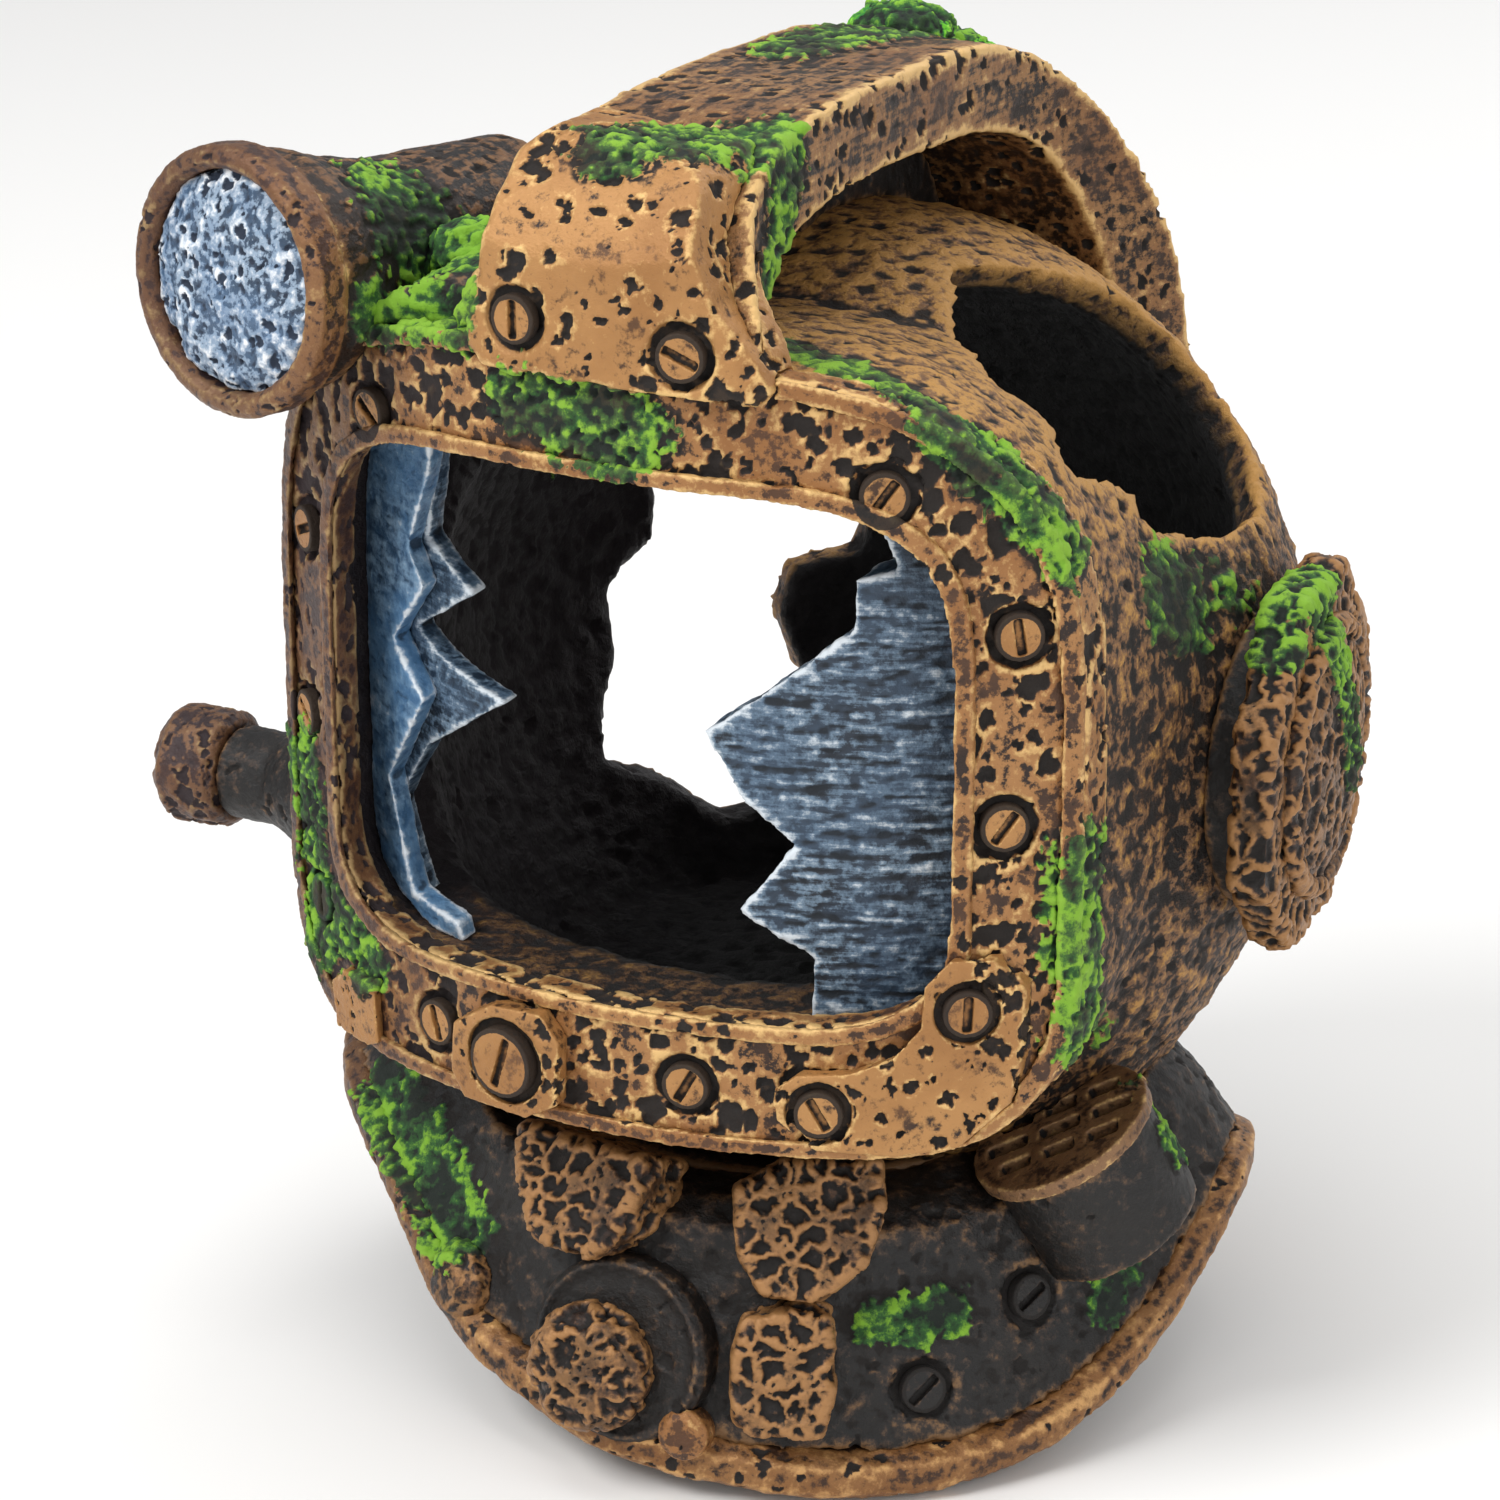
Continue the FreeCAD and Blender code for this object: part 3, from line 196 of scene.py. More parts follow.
    # raised net: walls between irregular cells
    perNet = addNode(tree, "ShaderNodeMath", {0: 1.0, 1: given["Net Size"]}, operation="DIVIDE")
    netCells = addNode(tree, "ShaderNodeTexVoronoi", {"Vector": raggedPlace, "Scale": perNet},
                       feature="DISTANCE_TO_EDGE")
    netReach = addNode(tree, "ShaderNodeMath", {0: netCells.outputs["Distance"], 1: given["Net Size"]},
                       operation="MULTIPLY")
    netWall = addNode(tree, "ShaderNodeMapRange",
                      {"Value": netReach, "From Min": given["Net Width"], "From Max": 0.12},
                      interpolation_type="SMOOTHSTEP")
    netUp = addNode(tree, "ShaderNodeMath", {0: netWall, 1: given["Net Height"]}, operation="MULTIPLY")

    # moss: the nearest dab decides, with a torn edge
    torn = addNode(tree, "ShaderNodeTexNoise",
                   {"Vector": inMm, "Scale": 0.42, "Detail": 3.0, "Roughness": 0.7})
    tornBy = addNode(tree, "ShaderNodeMath", {0: torn.outputs[0], 1: 4.4, 2: -2.35},
                     operation="MULTIPLY_ADD")
    cover = None
    for start, end, reach in mossStrokes:
        run = Vector(end) - Vector(start)
        fromStart = addNode(tree, "ShaderNodeVectorMath", {0: inMm, 1: start}, operation="SUBTRACT")
        along = addNode(tree, "ShaderNodeVectorMath", {0: fromStart, 1: run / run.length_squared},
                        operation="DOT_PRODUCT")
        held = addNode(tree, "ShaderNodeClamp", {"Value": along.outputs["Value"]})
        nearby = addNode(tree, "ShaderNodeVectorMath", {0: run, 3: held}, operation="SCALE")
        away = addNode(tree, "ShaderNodeVectorMath", {0: fromStart, 1: nearby}, operation="DISTANCE")
        share = addNode(tree, "ShaderNodeMath", {0: away.outputs["Value"], 1: -1.0 / reach, 2: 1.0},
                        operation="MULTIPLY_ADD")
        cover = share if cover is None else addNode(tree, "ShaderNodeMath", {0: cover, 1: share},
                                                    operation="MAXIMUM")
    tornCover = addNode(tree, "ShaderNodeMath", {0: cover, 1: 2.6, 2: tornBy}, operation="MULTIPLY_ADD")
    moss = addNode(tree, "ShaderNodeMapRange", {"Value": tornCover, "From Min": 0.35, "From Max": 0.8},
                   interpolation_type="SMOOTHSTEP")
    inReach = addNode(tree, "ShaderNodeMath", {0: cover, 1: 0.0}, operation="GREATER_THAN")
    mossHere = addNode(tree, "ShaderNodeMath", {0: moss, 1: inReach}, operation="MULTIPLY")
    clump = addNode(tree, "ShaderNodeTexVoronoi", {"Vector": inMm, "Scale": 0.9}, feature="SMOOTH_F1")
    clumpUp = addNode(tree, "ShaderNodeMath", {0: clump.outputs["Distance"], 1: -1.1, 2: 1.0},
                      operation="MULTIPLY_ADD")
    mossUp = addNode(tree, "ShaderNodeMath", {0: mossHere, 1: clumpUp}, operation="MULTIPLY")
    mossRise = addNode(tree, "ShaderNodeMath", {0: mossUp, 1: given["Moss Height"]},
                       operation="MULTIPLY")

    # add them up and move the surface
    total = addNode(tree, "ShaderNodeMath", {0: lumpUp, 1: grainUp}, operation="ADD")
    total = addNode(tree, "ShaderNodeMath", {0: total, 1: netUp}, operation="ADD")
    total = addNode(tree, "ShaderNodeMath", {0: total, 1: mossRise}, operation="ADD")
    total = addNode(tree, "ShaderNodeMath", {0: total, 1: pitDown}, operation="SUBTRACT")
    metres = addNode(tree, "ShaderNodeMath", {0: total, 1: mm}, operation="MULTIPLY")
    push = addNode(tree, "ShaderNodeVectorMath", {0: normal, 3: metres}, operation="SCALE")
    shape = given["Geometry"]
    for name, value in (("pit", pitOrRing), ("moss", mossHere), ("net", netWall), ("cave", caveShadeShare)):
        shape = addNode(tree, "GeometryNodeStoreNamedAttribute",
                        {"Geometry": shape, "Name": name, "Value": value}, data_type="FLOAT",
                        domain="POINT")
    shape = addNode(tree, "GeometryNodeSetPosition", {"Geometry": shape, "Offset": push})

    # ridge: how far each point stands out of its smoothed surroundings, 0.5 where flat
    after = addNode(tree, "GeometryNodeInputPosition")
    smooth = addNode(tree, "GeometryNodeBlurAttribute",
                     {"Value": after, "Iterations": given["Ridge Steps"]},
                     data_type="FLOAT_VECTOR")
    stands = addNode(tree, "ShaderNodeVectorMath", {0: after, 1: smooth}, operation="SUBTRACT")
    outward = addNode(tree, "ShaderNodeVectorMath", {0: stands, 1: normal}, operation="DOT_PRODUCT")
    gained = addNode(tree, "ShaderNodeMath", {0: outward.outputs["Value"], 1: mmInMetre},
                     operation="MULTIPLY")
    ridge = addNode(tree, "ShaderNodeMath", {0: gained, 1: given["Ridge Gain"], 2: 0.5},
                    operation="MULTIPLY_ADD")
    shape = addNode(tree, "GeometryNodeStoreNamedAttribute",
                    {"Geometry": shape, "Name": "ridge", "Value": ridge}, data_type="FLOAT",
                    domain="POINT")
    shape = addNode(tree, "GeometryNodeSetShadeSmooth", {"Geometry": shape})
    shape = addNode(tree, "GeometryNodeRealizeInstances", {"Geometry": shape})
    shape = addNode(tree, "GeometryNodeSetMaterial", {"Geometry": shape, "Material": given["Material"]})
    addNode(tree, "NodeGroupOutput", {"Geometry": shape})
    return tree


# middle of the hollow helmet in mm: one dome radius in from the back of the shell
domeRadius = 54.5
domeMiddleHeight = 79.0
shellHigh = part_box("helmet_shell")[1]
caveMiddle = (0.0, shellHigh[1] / mm - domeRadius, domeMiddleHeight)
reliefTree = buildReliefTree()
reliefInputs = {item.name: item.identifier for item in reliefTree.interface.items_tree
                if item.in_out == "INPUT"}


# one point for each slotted head, with the head's radius
def headPoints(nodes):
    spots, radii = [], []
    for node in nodes:
        bm = bmesh.new()
        bm.from_mesh(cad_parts[node].data)
        bmesh.ops.remove_doubles(bm, verts=bm.verts, dist=weldWithin)
        left = set(bm.verts)
        while left:
            island, edge = set(), [left.pop()]
            while edge:
                vert = edge.pop()
                island.add(vert)
                for link in vert.link_edges:
                    other = link.other_vert(vert)
                    if other in left:
                        left.discard(other)
                        edge.append(other)
            middle = sum((v.co for v in island), Vector()) / len(island)
            spots.append(middle)
            radii.append(max((v.co - middle).length for v in island))
        bm.free()
    mesh = bpy.data.meshes.new("headPoints")
    mesh.from_pydata(spots, [], [])
    mesh.attributes.new("headRadius", "FLOAT", "POINT").data.foreach_set("value", radii)
    holder = bpy.data.objects.new("headPoints", mesh)
    bpy.context.scene.collection.objects.link(holder)
    print("slotted heads:", len(spots))
    return holder


heads = headPoints(["frame_screws", "patch_screws", "brow_screws", "latch_screw", "corselet_screws"])


# copies CAD nodes, welds them into one skin of even quads, presses the relief in and keeps the mesh
def castPiece(spec):
    bm = bmesh.new()
    for node in spec["nodes"]:
        bm.from_mesh(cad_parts[node].data)
    bmesh.ops.remove_doubles(bm, verts=bm.verts, dist=weldWithin)
    mesh = bpy.data.meshes.new(spec["name"])
    bm.to_mesh(mesh)
    bm.free()
    blank = bpy.data.objects.new(spec["name"] + "Blank", mesh)
    bpy.context.scene.collection.objects.link(blank)
    skin = blank.modifiers.new("skin", "REMESH")
    skin.mode = "VOXEL"
    skin.voxel_size = spec["voxel"] * mm
    skin.adaptivity = 0
    soften = blank.modifiers.new("soften", "SMOOTH")
    soften.factor = 0.5
    soften.iterations = spec.get("soften", 2)
    relief = blank.modifiers.new("relief", "NODES")
    relief.node_group = reliefTree
    relief[reliefInputs["Material"]] = spec["material"]
    relief[reliefInputs["Heads"]] = heads
    for name, value in spec["relief"].items():
        relief[reliefInputs[name]] = value
    graph = bpy.context.evaluated_depsgraph_get()
    shaped = bpy.data.meshes.new_from_object(blank.evaluated_get(graph), preserve_all_data_layers=True,
                                             depsgraph=graph)
    shaped.name = spec["name"]
    bpy.data.objects.remove(blank)
    piece = bpy.data.objects.new(spec["name"], shaped)
    bpy.context.scene.collection.objects.link(piece)
    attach(piece, "root")
    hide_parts(*spec["nodes"])
    print(spec["name"], "faces", len(shaped.polygons))


# heights where the painted top light starts and is full, and the same for the painted shade on the
# darker side
topLightFrom, topLightTo = 96 * mm, 122 * mm
sideShadeFrom, sideShadeTo = -12 * mm, -44 * mm
crestSpan = 0.35        # how far above crestFrom the crest colour is full
mossFine = 1.4          # moss specks and swathes, in mm
mossSwathe = 6.5


# cast polyurethane resin, base-coated dark, colour brushed over the relief so that hollows stay black
# and crests catch gold; the same recipe serves every finish with its own colours
def brushedResin(name, coat):
    material = bpy.data.materials.new(name)
    material.use_nodes = True
    tree = material.node_tree
    tree.nodes.clear()
    where = addNode(tree, "ShaderNodeTexCoord").outputs["Object"]
    ridge = addNode(tree, "ShaderNodeAttribute", attribute_name="ridge").outputs["Fac"]
    pit = addNode(tree, "ShaderNodeAttribute", attribute_name="pit").outputs["Fac"]
    moss = addNode(tree, "ShaderNodeAttribute", attribute_name="moss").outputs["Fac"]
    net = addNode(tree, "ShaderNodeAttribute", attribute_name="net").outputs["Fac"]
    patches = addNode(tree, "ShaderNodeTexNoise",
                      {"Vector": where, "Scale": mmInMetre / coat["patch"], "Detail": 4.0,
                       "Roughness": 0.6})
    specks = addNode(tree, "ShaderNodeTexNoise",
                     {"Vector": where, "Scale": mmInMetre / coat["speck"], "Detail": 4.0,
                      "Roughness": 0.75})
    threads = addNode(tree, "ShaderNodeMapping",
                      {"Vector": where, "Scale": coat.get("brush", (1, 1, 1))})
    streaks = addNode(tree, "ShaderNodeTexNoise",
                      {"Vector": threads, "Scale": mmInMetre / coat["streak"], "Detail": 3.0,
                       "Roughness": 0.7})

    crust = addNode(tree, "ShaderNodeTexNoise",
                    {"Vector": where, "Scale": mmInMetre / coat["crust"], "Detail": 5.0,
                     "Roughness": 0.7})
    axes = addNode(tree, "ShaderNodeSeparateXYZ", {0: where})

    # under colour, varied in patches
    patchShare = addNode(tree, "ShaderNodeMapRange",
                         {"Value": patches.outputs[0], "From Min": 0.38, "From Max": 0.62})
    under = addNode(tree, "ShaderNodeMix",
                    {"Factor": patchShare, "A": paint(coat["dark"]), "B": paint(coat["mid"])},
                    data_type="RGBA")
    # brushed colour over it, broken up by specks and streaks
    # painted top light: the brushed colour is raised towards the top, where the light falls
    topLit = addNode(tree, "ShaderNodeMapRange",
                     {"Value": axes.outputs[2], "From Min": topLightFrom, "From Max": topLightTo,
                      "To Min": -0.5 * coat["grit"],
                      "To Max": coat.get("topLight", 0.0) - 0.5 * coat["grit"]})
    sharper = addNode(tree, "ShaderNodeMath", {0: crust.outputs[0], 1: coat["grit"], 2: topLit},
                      operation="MULTIPLY_ADD")
    broken = addNode(tree, "ShaderNodeMath", {0: specks.outputs[0], 1: streaks.outputs[0]},
                     operation="ADD")
    broken = addNode(tree, "ShaderNodeMath", {0: broken, 1: sharper}, operation="ADD")
    lifted = addNode(tree, "ShaderNodeMath", {0: ridge, 1: coat["lift"], 2: broken},
                     operation="MULTIPLY_ADD")
    brushShare = addNode(tree, "ShaderNodeMapRange",
                         {"Value": lifted, "From Min": coat["brushFrom"], "From Max": coat["brushTo"],
                          "To Max": coat["brushMost"]})
    tone = addNode(tree, "ShaderNodeMapRange",
                   {"Value": patches.outputs[0], "From Min": 0.62, "From Max": 0.4})
    brushColour = addNode(tree, "ShaderNodeMix",
                          {"Factor": tone, "A": paint(coat["light"]), "B": paint(coat["light2"])},
                          data_type="RGBA")
    brushed = addNode(tree, "ShaderNodeMix", {"Factor": brushShare, "A": under, "B": brushColour},
                      data_type="RGBA")
    # bright crests
    crestShare = addNode(tree, "ShaderNodeMapRange",
                         {"Value": lifted, "From Min": coat["crestFrom"],
                          "From Max": coat["crestFrom"] + crestSpan,
                          "To Max": coat["crestMost"]})
    crested = addNode(tree, "ShaderNodeMix",
                      {"Factor": crestShare, "A": brushed, "B": paint(coat["crest"])},
                      data_type="RGBA")
    # net walls catch the brush
    netBy = addNode(tree, "ShaderNodeMath", {0: net, 1: specks.outputs[0]}, operation="MULTIPLY")
    netMost = addNode(tree, "ShaderNodeMapRange",
                      {"Value": patches.outputs[0], "From Min": 0.66, "From Max": 0.42,
                       "To Max": coat.get("netMost", 0.0)})
    netShare = addNode(tree, "ShaderNodeMapRange",
                       {"Value": netBy, "From Min": 0.22, "From Max": 0.5, "To Max": netMost})
    netted = addNode(tree, "ShaderNodeMix",
                     {"Factor": netShare, "A": crested, "B": paint(coat["crest"])},
                     data_type="RGBA")
    # black wash in hollows and pits
    hollow = addNode(tree, "ShaderNodeMapRange",
                     {"Value": ridge, "From Min": coat["washFrom"], "From Max": coat["washTo"]})
    frayed = addNode(tree, "ShaderNodeMath", {0: crust.outputs[0], 1: 1.4, 2: -0.7},
                     operation="MULTIPLY_ADD")
    frayedPit = addNode(tree, "ShaderNodeMath", {0: pit, 1: frayed}, operation="ADD")
    pitShare = addNode(tree, "ShaderNodeMapRange",
                       {"Value": frayedPit, "From Min": 0.3, "From Max": 0.5})
    washBoth = addNode(tree, "ShaderNodeMath", {0: hollow, 1: pitShare}, operation="MAXIMUM")
    washShare = addNode(tree, "ShaderNodeMath", {0: washBoth, 1: coat["wash"]}, operation="MULTIPLY")
    washed = addNode(tree, "ShaderNodeMix",
                     {"Factor": washShare, "A": netted, "B": paint(coat["washColour"])},
                     data_type="RGBA")
    # painted shade: the inside of the cave is painted black
    cave = addNode(tree, "ShaderNodeAttribute", attribute_name="cave").outputs["Fac"]
    caveShaded = addNode(tree, "ShaderNodeMix", {"Factor": cave, "A": washed, "B": paint(caveShadeBlack)},
                    data_type="RGBA")
    # painted shade: the side of the object away from the port is painted darker, standing in for its
    # shadowed side
    sideShadeShare = addNode(tree, "ShaderNodeMapRange",
                    {"Value": axes.outputs[0], "From Min": sideShadeFrom, "From Max": sideShadeTo,
                     "To Max": coat.get("paintedSideShade", 0.0)})
    shaded = addNode(tree, "ShaderNodeMix",
                     {"Factor": sideShadeShare, "A": caveShaded, "B": paint(coat.get("sideShadeColour", coat["dark"]))},
                     data_type="RGBA")
    # moss paint: three greens by height of the clumps and fine specks
    fine = addNode(tree, "ShaderNodeTexNoise",
                   {"Vector": where, "Scale": mmInMetre / mossFine, "Detail": 4.0, "Roughness": 0.8})
    swathes = addNode(tree, "ShaderNodeTexNoise",
                      {"Vector": where, "Scale": mmInMetre / mossSwathe, "Detail": 2.0})
    swathe = addNode(tree, "ShaderNodeMath", {0: swathes.outputs[0], 1: 1.7, 2: -0.9},
                     operation="MULTIPLY_ADD")
    lit = addNode(tree, "ShaderNodeMath", {0: fine.outputs[0], 1: swathe}, operation="ADD")
    mossTone = addNode(tree, "ShaderNodeMath", {0: ridge, 1: 0.38, 2: lit}, operation="MULTIPLY_ADD")
    ramp = addNode(tree, "ShaderNodeValToRGB", {"Fac": mossTone})
    ramp.color_ramp.elements[0].position = 0.5
    ramp.color_ramp.elements[0].color = paint("#0E1A12")
    ramp.color_ramp.elements[1].position = 1.0
    ramp.color_ramp.elements[1].color = paint("#7CAF2C")
    middle = ramp.color_ramp.elements.new(0.78)
    middle.color = paint("#2A5A24")
    mossEdge = addNode(tree, "ShaderNodeMath", {0: moss, 1: frayed}, operation="ADD")
    mossShare = addNode(tree, "ShaderNodeMapRange",
                        {"Value": mossEdge, "From Min": 0.3, "From Max": 0.55, "To Max": 0.95})
    mossy = addNode(tree, "ShaderNodeMix", {"Factor": mossShare, "A": shaded, "B": ramp.outputs[0]},
                    data_type="RGBA")

    dull = addNode(tree, "ShaderNodeMath", {0: washShare, 1: mossShare}, operation="MAXIMUM")
    rough = addNode(tree, "ShaderNodeMapRange",
                    {"Value": dull, "To Min": coat["roughness"], "To Max": 0.8})
    metal = addNode(tree, "ShaderNodeMapRange", {"Value": dull, "To Min": coat["metal"], "To Max": 0.0})
    tooth = addNode(tree, "ShaderNodeBump",
                    {"Height": crust.outputs[0], "Strength": 0.8, "Distance": coat["tooth"] * mm})
    shader = addNode(tree, "ShaderNodeBsdfPrincipled",
                     {"Base Color": mossy, "Roughness": rough, "Metallic": metal, "Normal": tooth})
    addNode(tree, "ShaderNodeOutputMaterial", {"Surface": shader})
    return material


# aged copper paint, brushed heavily: bright orange-gold with black left in the pits
copperCoat = {
    "dark": "#2B1D17", "mid": "#583A25", "light": "#946437", "light2": "#A87848", "crest": "#E6BE7C",
    "washColour": "#17120F", "patch": 14, "speck": 1.8, "streak": 5, "lift": 0.9,
    "brushFrom": 1.42, "brushTo": 1.56, "brushMost": 0.95, "crestFrom": 1.72, "crestMost": 0.85,
    "washFrom": 0.45, "washTo": 0.3, "wash": 0.95, "roughness": 0.45, "metal": 0.3,
    # painted shade: the side away from the port is darkened towards the side colour
    "paintedSideShade": 0.6, "sideShadeColour": "#33252A", "crust": 1.1, "grit": 0.9, "tooth": 0.35}
frameCopper = brushedResin("brushedCopperResin", copperCoat)
browCopper = brushedResin("brightCopperResin", {
    **copperCoat, "mid": "#6E4A2B", "light": "#A0703E", "light2": "#B5844E", "brushFrom": 1.22,
    "brushTo": 1.42,
    "paintedSideShade": 0.0})
# body of the helmet: rust-brown, granular, with gold glints, only a light brushing and a painted top
# light
bodyBronze = brushedResin("granularBronzeResin", {
    **copperCoat, "dark": "#17110F", "mid": "#35261D", "light": "#7A5635", "light2": "#8A6444",
    "crest": "#C9974F",
    "patch": 16, "speck": 1.3, "brushFrom": 1.42, "brushTo": 1.6, "brushMost": 0.9, "crestFrom": 1.72,
    "crestMost": 0.8, "topLight": 0.42, "grit": 2.4, "tooth": 0.9, "washFrom": 0.46, "washTo": 0.25,
    "roughness": 0.55, "metal": 0.2, "paintedSideShade": 0.4})
# crest and barrel: fine brushed lines along the run
crestCopper = brushedResin("strokedCopperResin", {
    **copperCoat, "dark": "#1E1511", "mid": "#452F20", "light": "#855B36", "light2": "#9A7045",
    "brush": (3.5, 0.25, 3.5), "streak": 4, "paintedSideShade": 0.0, "brushFrom": 1.38, "brushTo": 1.6})
# lamp barrel: the same strokes, painted much darker as painted shade
shadedBarrelCopper = brushedResin("shadedStrokedResin", {
    **copperCoat, "dark": "#15100E", "mid": "#2C1F18", "light": "#6B482C", "light2": "#7C5837",
    "brush": (3.5, 0.25, 3.5), "streak": 4, "paintedSideShade": 0.0, "brushFrom": 1.52, "brushTo": 1.75,
    "crestFrom": 1.9})
# raised network, orange on black
netCopper = brushedResin("nettedCopperResin", {
    **copperCoat, "dark": "#15100F", "mid": "#2E2019", "light": "#5A3D28", "light2": "#6C4B30",
    "crest": "#A87A4A",
    "brushFrom": 1.5, "brushTo": 1.75, "netMost": 0.75, "paintedSideShade": 0.0, "washFrom": 0.44})
grilleCopper = brushedResin("grilleCopperResin", {
    **copperCoat, "dark": "#2A1D17", "mid": "#4E382A", "light": "#84603F", "light2": "#94704E",
    "brushFrom": 1.3, "brushTo": 1.5, "paintedSideShade": 0.0})
# near-black resin with a trace of brown
blackResin = brushedResin("blackenedResin", {
    **copperCoat, "dark": "#0C0A0A", "mid": "#16120F", "light": "#33271F", "light2": "#433328",
    "crest": "#8F6A42",
    "grit": 1.8, "brushFrom": 1.58, "brushTo": 1.85, "brushMost": 0.85, "crestFrom": 1.85,
    "crestMost": 0.6, "roughness": 0.5,
    "metal": 0.1, "paintedSideShade": 0.0})
# tan rim
rimTan = brushedResin("tanRimResin", {
    **copperCoat, "dark": "#261A14", "mid": "#49301F", "light": "#85592F", "light2": "#966A3E",
    "crest": "#D2A266",
    "brushFrom": 1.38, "brushTo": 1.6, "paintedSideShade": 0.45})
# broken panes: blue paint, white brushed along the broken edges
paneBlue = brushedResin("bluePaneResin", {
    **copperCoat, "dark": "#33516F", "mid": "#4B739A", "light": "#6B90B2", "light2": "#86A6C2",
    "crest": "#DDE4EA",
    "washColour": "#16202C", "brush": (0.5, 0.5, 2), "streak": 5, "patch": 12, "grit": 0.7,
    "brushFrom": 1.3, "brushTo": 1.6,
    "brushMost": 0.8, "crestFrom": 1.66, "crestMost": 0.95, "wash": 0.7, "metal": 0.0, "roughness": 0.4,
    "paintedSideShade": 0.0})
paneSlate = brushedResin("slatePaneResin", {
    **copperCoat, "dark": "#17202C", "mid": "#2E4155", "light": "#5B7288", "light2": "#6E8599",
    "crest": "#D8E0E6",
    "washColour": "#10161C", "brush": (0.3, 0.3, 3.5), "streak": 2.4, "patch": 10, "brushFrom": 1.38,
    "brushTo": 1.6,
    "brushMost": 0.85, "crestFrom": 1.64, "crestMost": 0.95, "wash": 0.85, "metal": 0.0,
    "roughness": 0.42,
    "paintedSideShade": 0.0})
# lamp lens: pale blue gloss over hammered resin
lampBlue = brushedResin("lampLensResin", {
    **copperCoat, "dark": "#2B3F55", "mid": "#46617F", "light": "#7890AC", "light2": "#93A7BC",
    "crest": "#F0F3F6",
    "washColour": "#1D2536", "patch": 7, "speck": 1.6, "streak": 2, "brushFrom": 1.38, "brushTo": 1.5,
    "crestFrom": 1.6, "crestMost": 0.95, "washFrom": 0.42, "washTo": 0.25, "wash": 0.85, "metal": 0.0,
    "roughness": 0.28, "paintedSideShade": 0.0})
mossPaint = brushedResin("mossPaintResin",
                         {**copperCoat, "dark": "#17331F", "mid": "#2E7D32", "light": "#4E9A28",
                                            "light2": "#6CC71E", "crest": "#9BE04A", "metal": 0.0,
                                            "roughness": 0.8, "paintedSideShade": 0.0})
print("materials made")

plainRelief = {"Lump Height": 0.8, "Lump Size": 5.0, "Grain Height": 0.5, "Pit Share": 0.2}

castPiece({"name": "helmetShell", "nodes": ["helmet_shell"], "voxel": 0.85, "material": bodyBronze,
           "slot": "copper_resin",
           "relief": {"Lump Size": 14.0, "Lump Height": 1.2, "Grain Size": 2.8, "Grain Height": 1.8,
                      "Pit Share": 0.25, "Pit Spacing": 3.6, "Pit Radius": 1.1, "Pit Depth": 0.6,
                      "Ridge Gain": 2.2, "Ridge Steps": 6, "Cave": 1.0}})
castPiece({"name": "windowFrame", "nodes": ["window_frame"], "voxel": 0.42, "material": frameCopper,
           "slot": "copper_resin",
           "relief": {"Lump Size": 9.0, "Lump Height": 0.5, "Grain Size": 2.0, "Grain Height": 0.35,
                      "Pit Share": 1.15, "Pit Spacing": 2.5, "Pit Radius": 1.2, "Pit Depth": 0.6}})
castPiece({"name": "frameBeads", "nodes": ["frame_inner_bead", "frame_outer_bead"], "voxel": 0.3,
           "material": frameCopper, "slot": "copper_resin", "soften": 4,
           "relief": {"Lump Size": 5.0, "Lump Height": 0.5, "Grain Size": 1.5, "Grain Height": 0.5,
                      "Pit Share": 0.15, "Pit Depth": 0.3, "Moss Height": 0.4}})
castPiece({"name": "cornerPatch", "nodes": ["corner_patch"], "voxel": 0.25, "material": browCopper,
           "slot": "copper_resin", "soften": 4,
           "relief": {"Lump Height": 0.4, "Grain Height": 0.2, "Pit Share": 1.1, "Pit Spacing": 2.4,
                      "Pit Radius": 0.95, "Pit Depth": 0.6, "Seed": 5.0}})
castPiece({"name": "latchBoss", "nodes": ["latch_boss", "side_tab"], "voxel": 0.22,
           "material": browCopper,
           "slot": "copper_resin", "soften": 4,
           "relief": {"Lump Height": 0.4, "Grain Height": 0.25, "Pit Share": 0.5, "Pit Spacing": 2.2,
                      "Pit Radius": 0.7,
                      "Seed": 9.0}})
castPiece({"name": "slottedHeads", "nodes": ["frame_screws", "patch_screws", "brow_screws"],
           "voxel": 0.17,
           "material": browCopper, "slot": "copper_resin",
           "relief": {"Lump Height": 0.1, "Grain Size": 0.9, "Grain Height": 0.12, "Pit Share": -1.0,
                      "Moss Height": 0.2}})
castPiece({"name": "latchHead", "nodes": ["latch_screw"], "voxel": 0.17, "material": browCopper,
           "slot": "copper_resin",
           "relief": {"Lump Height": 0.1, "Grain Size": 0.9, "Grain Height": 0.12, "Pit Share": 0.0}})
castPiece({"name": "browPlate", "nodes": ["brow_plate"], "voxel": 0.36, "material": browCopper,
           "slot": "copper_resin", "soften": 14,
           "relief": {"Lump Size": 8.0, "Lump Height": 0.7, "Grain Size": 1.8, "Grain Height": 0.2,
                      "Pit Share": 0.95, "Pit Spacing": 2.6, "Pit Radius": 0.95, "Pit Depth": 0.6,
                      "Seed": 3.0}})
castPiece({"name": "crestHandle", "nodes": ["crest_handle"], "voxel": 0.55, "material": crestCopper,
           "slot": "copper_resin", "soften": 4,
           "relief": {"Lump Size": 10.0, "Lump Height": 0.8, "Grain Size": 1.6, "Grain Height": 0.4,
                      "Stretch": (1.0, 0.35, 1.0), "Pit Share": 0.7, "Pit Spacing": 2.6,
                      "Pit Radius": 0.9,
                      "Pit Depth": 0.5, "Seed": 7.0}})
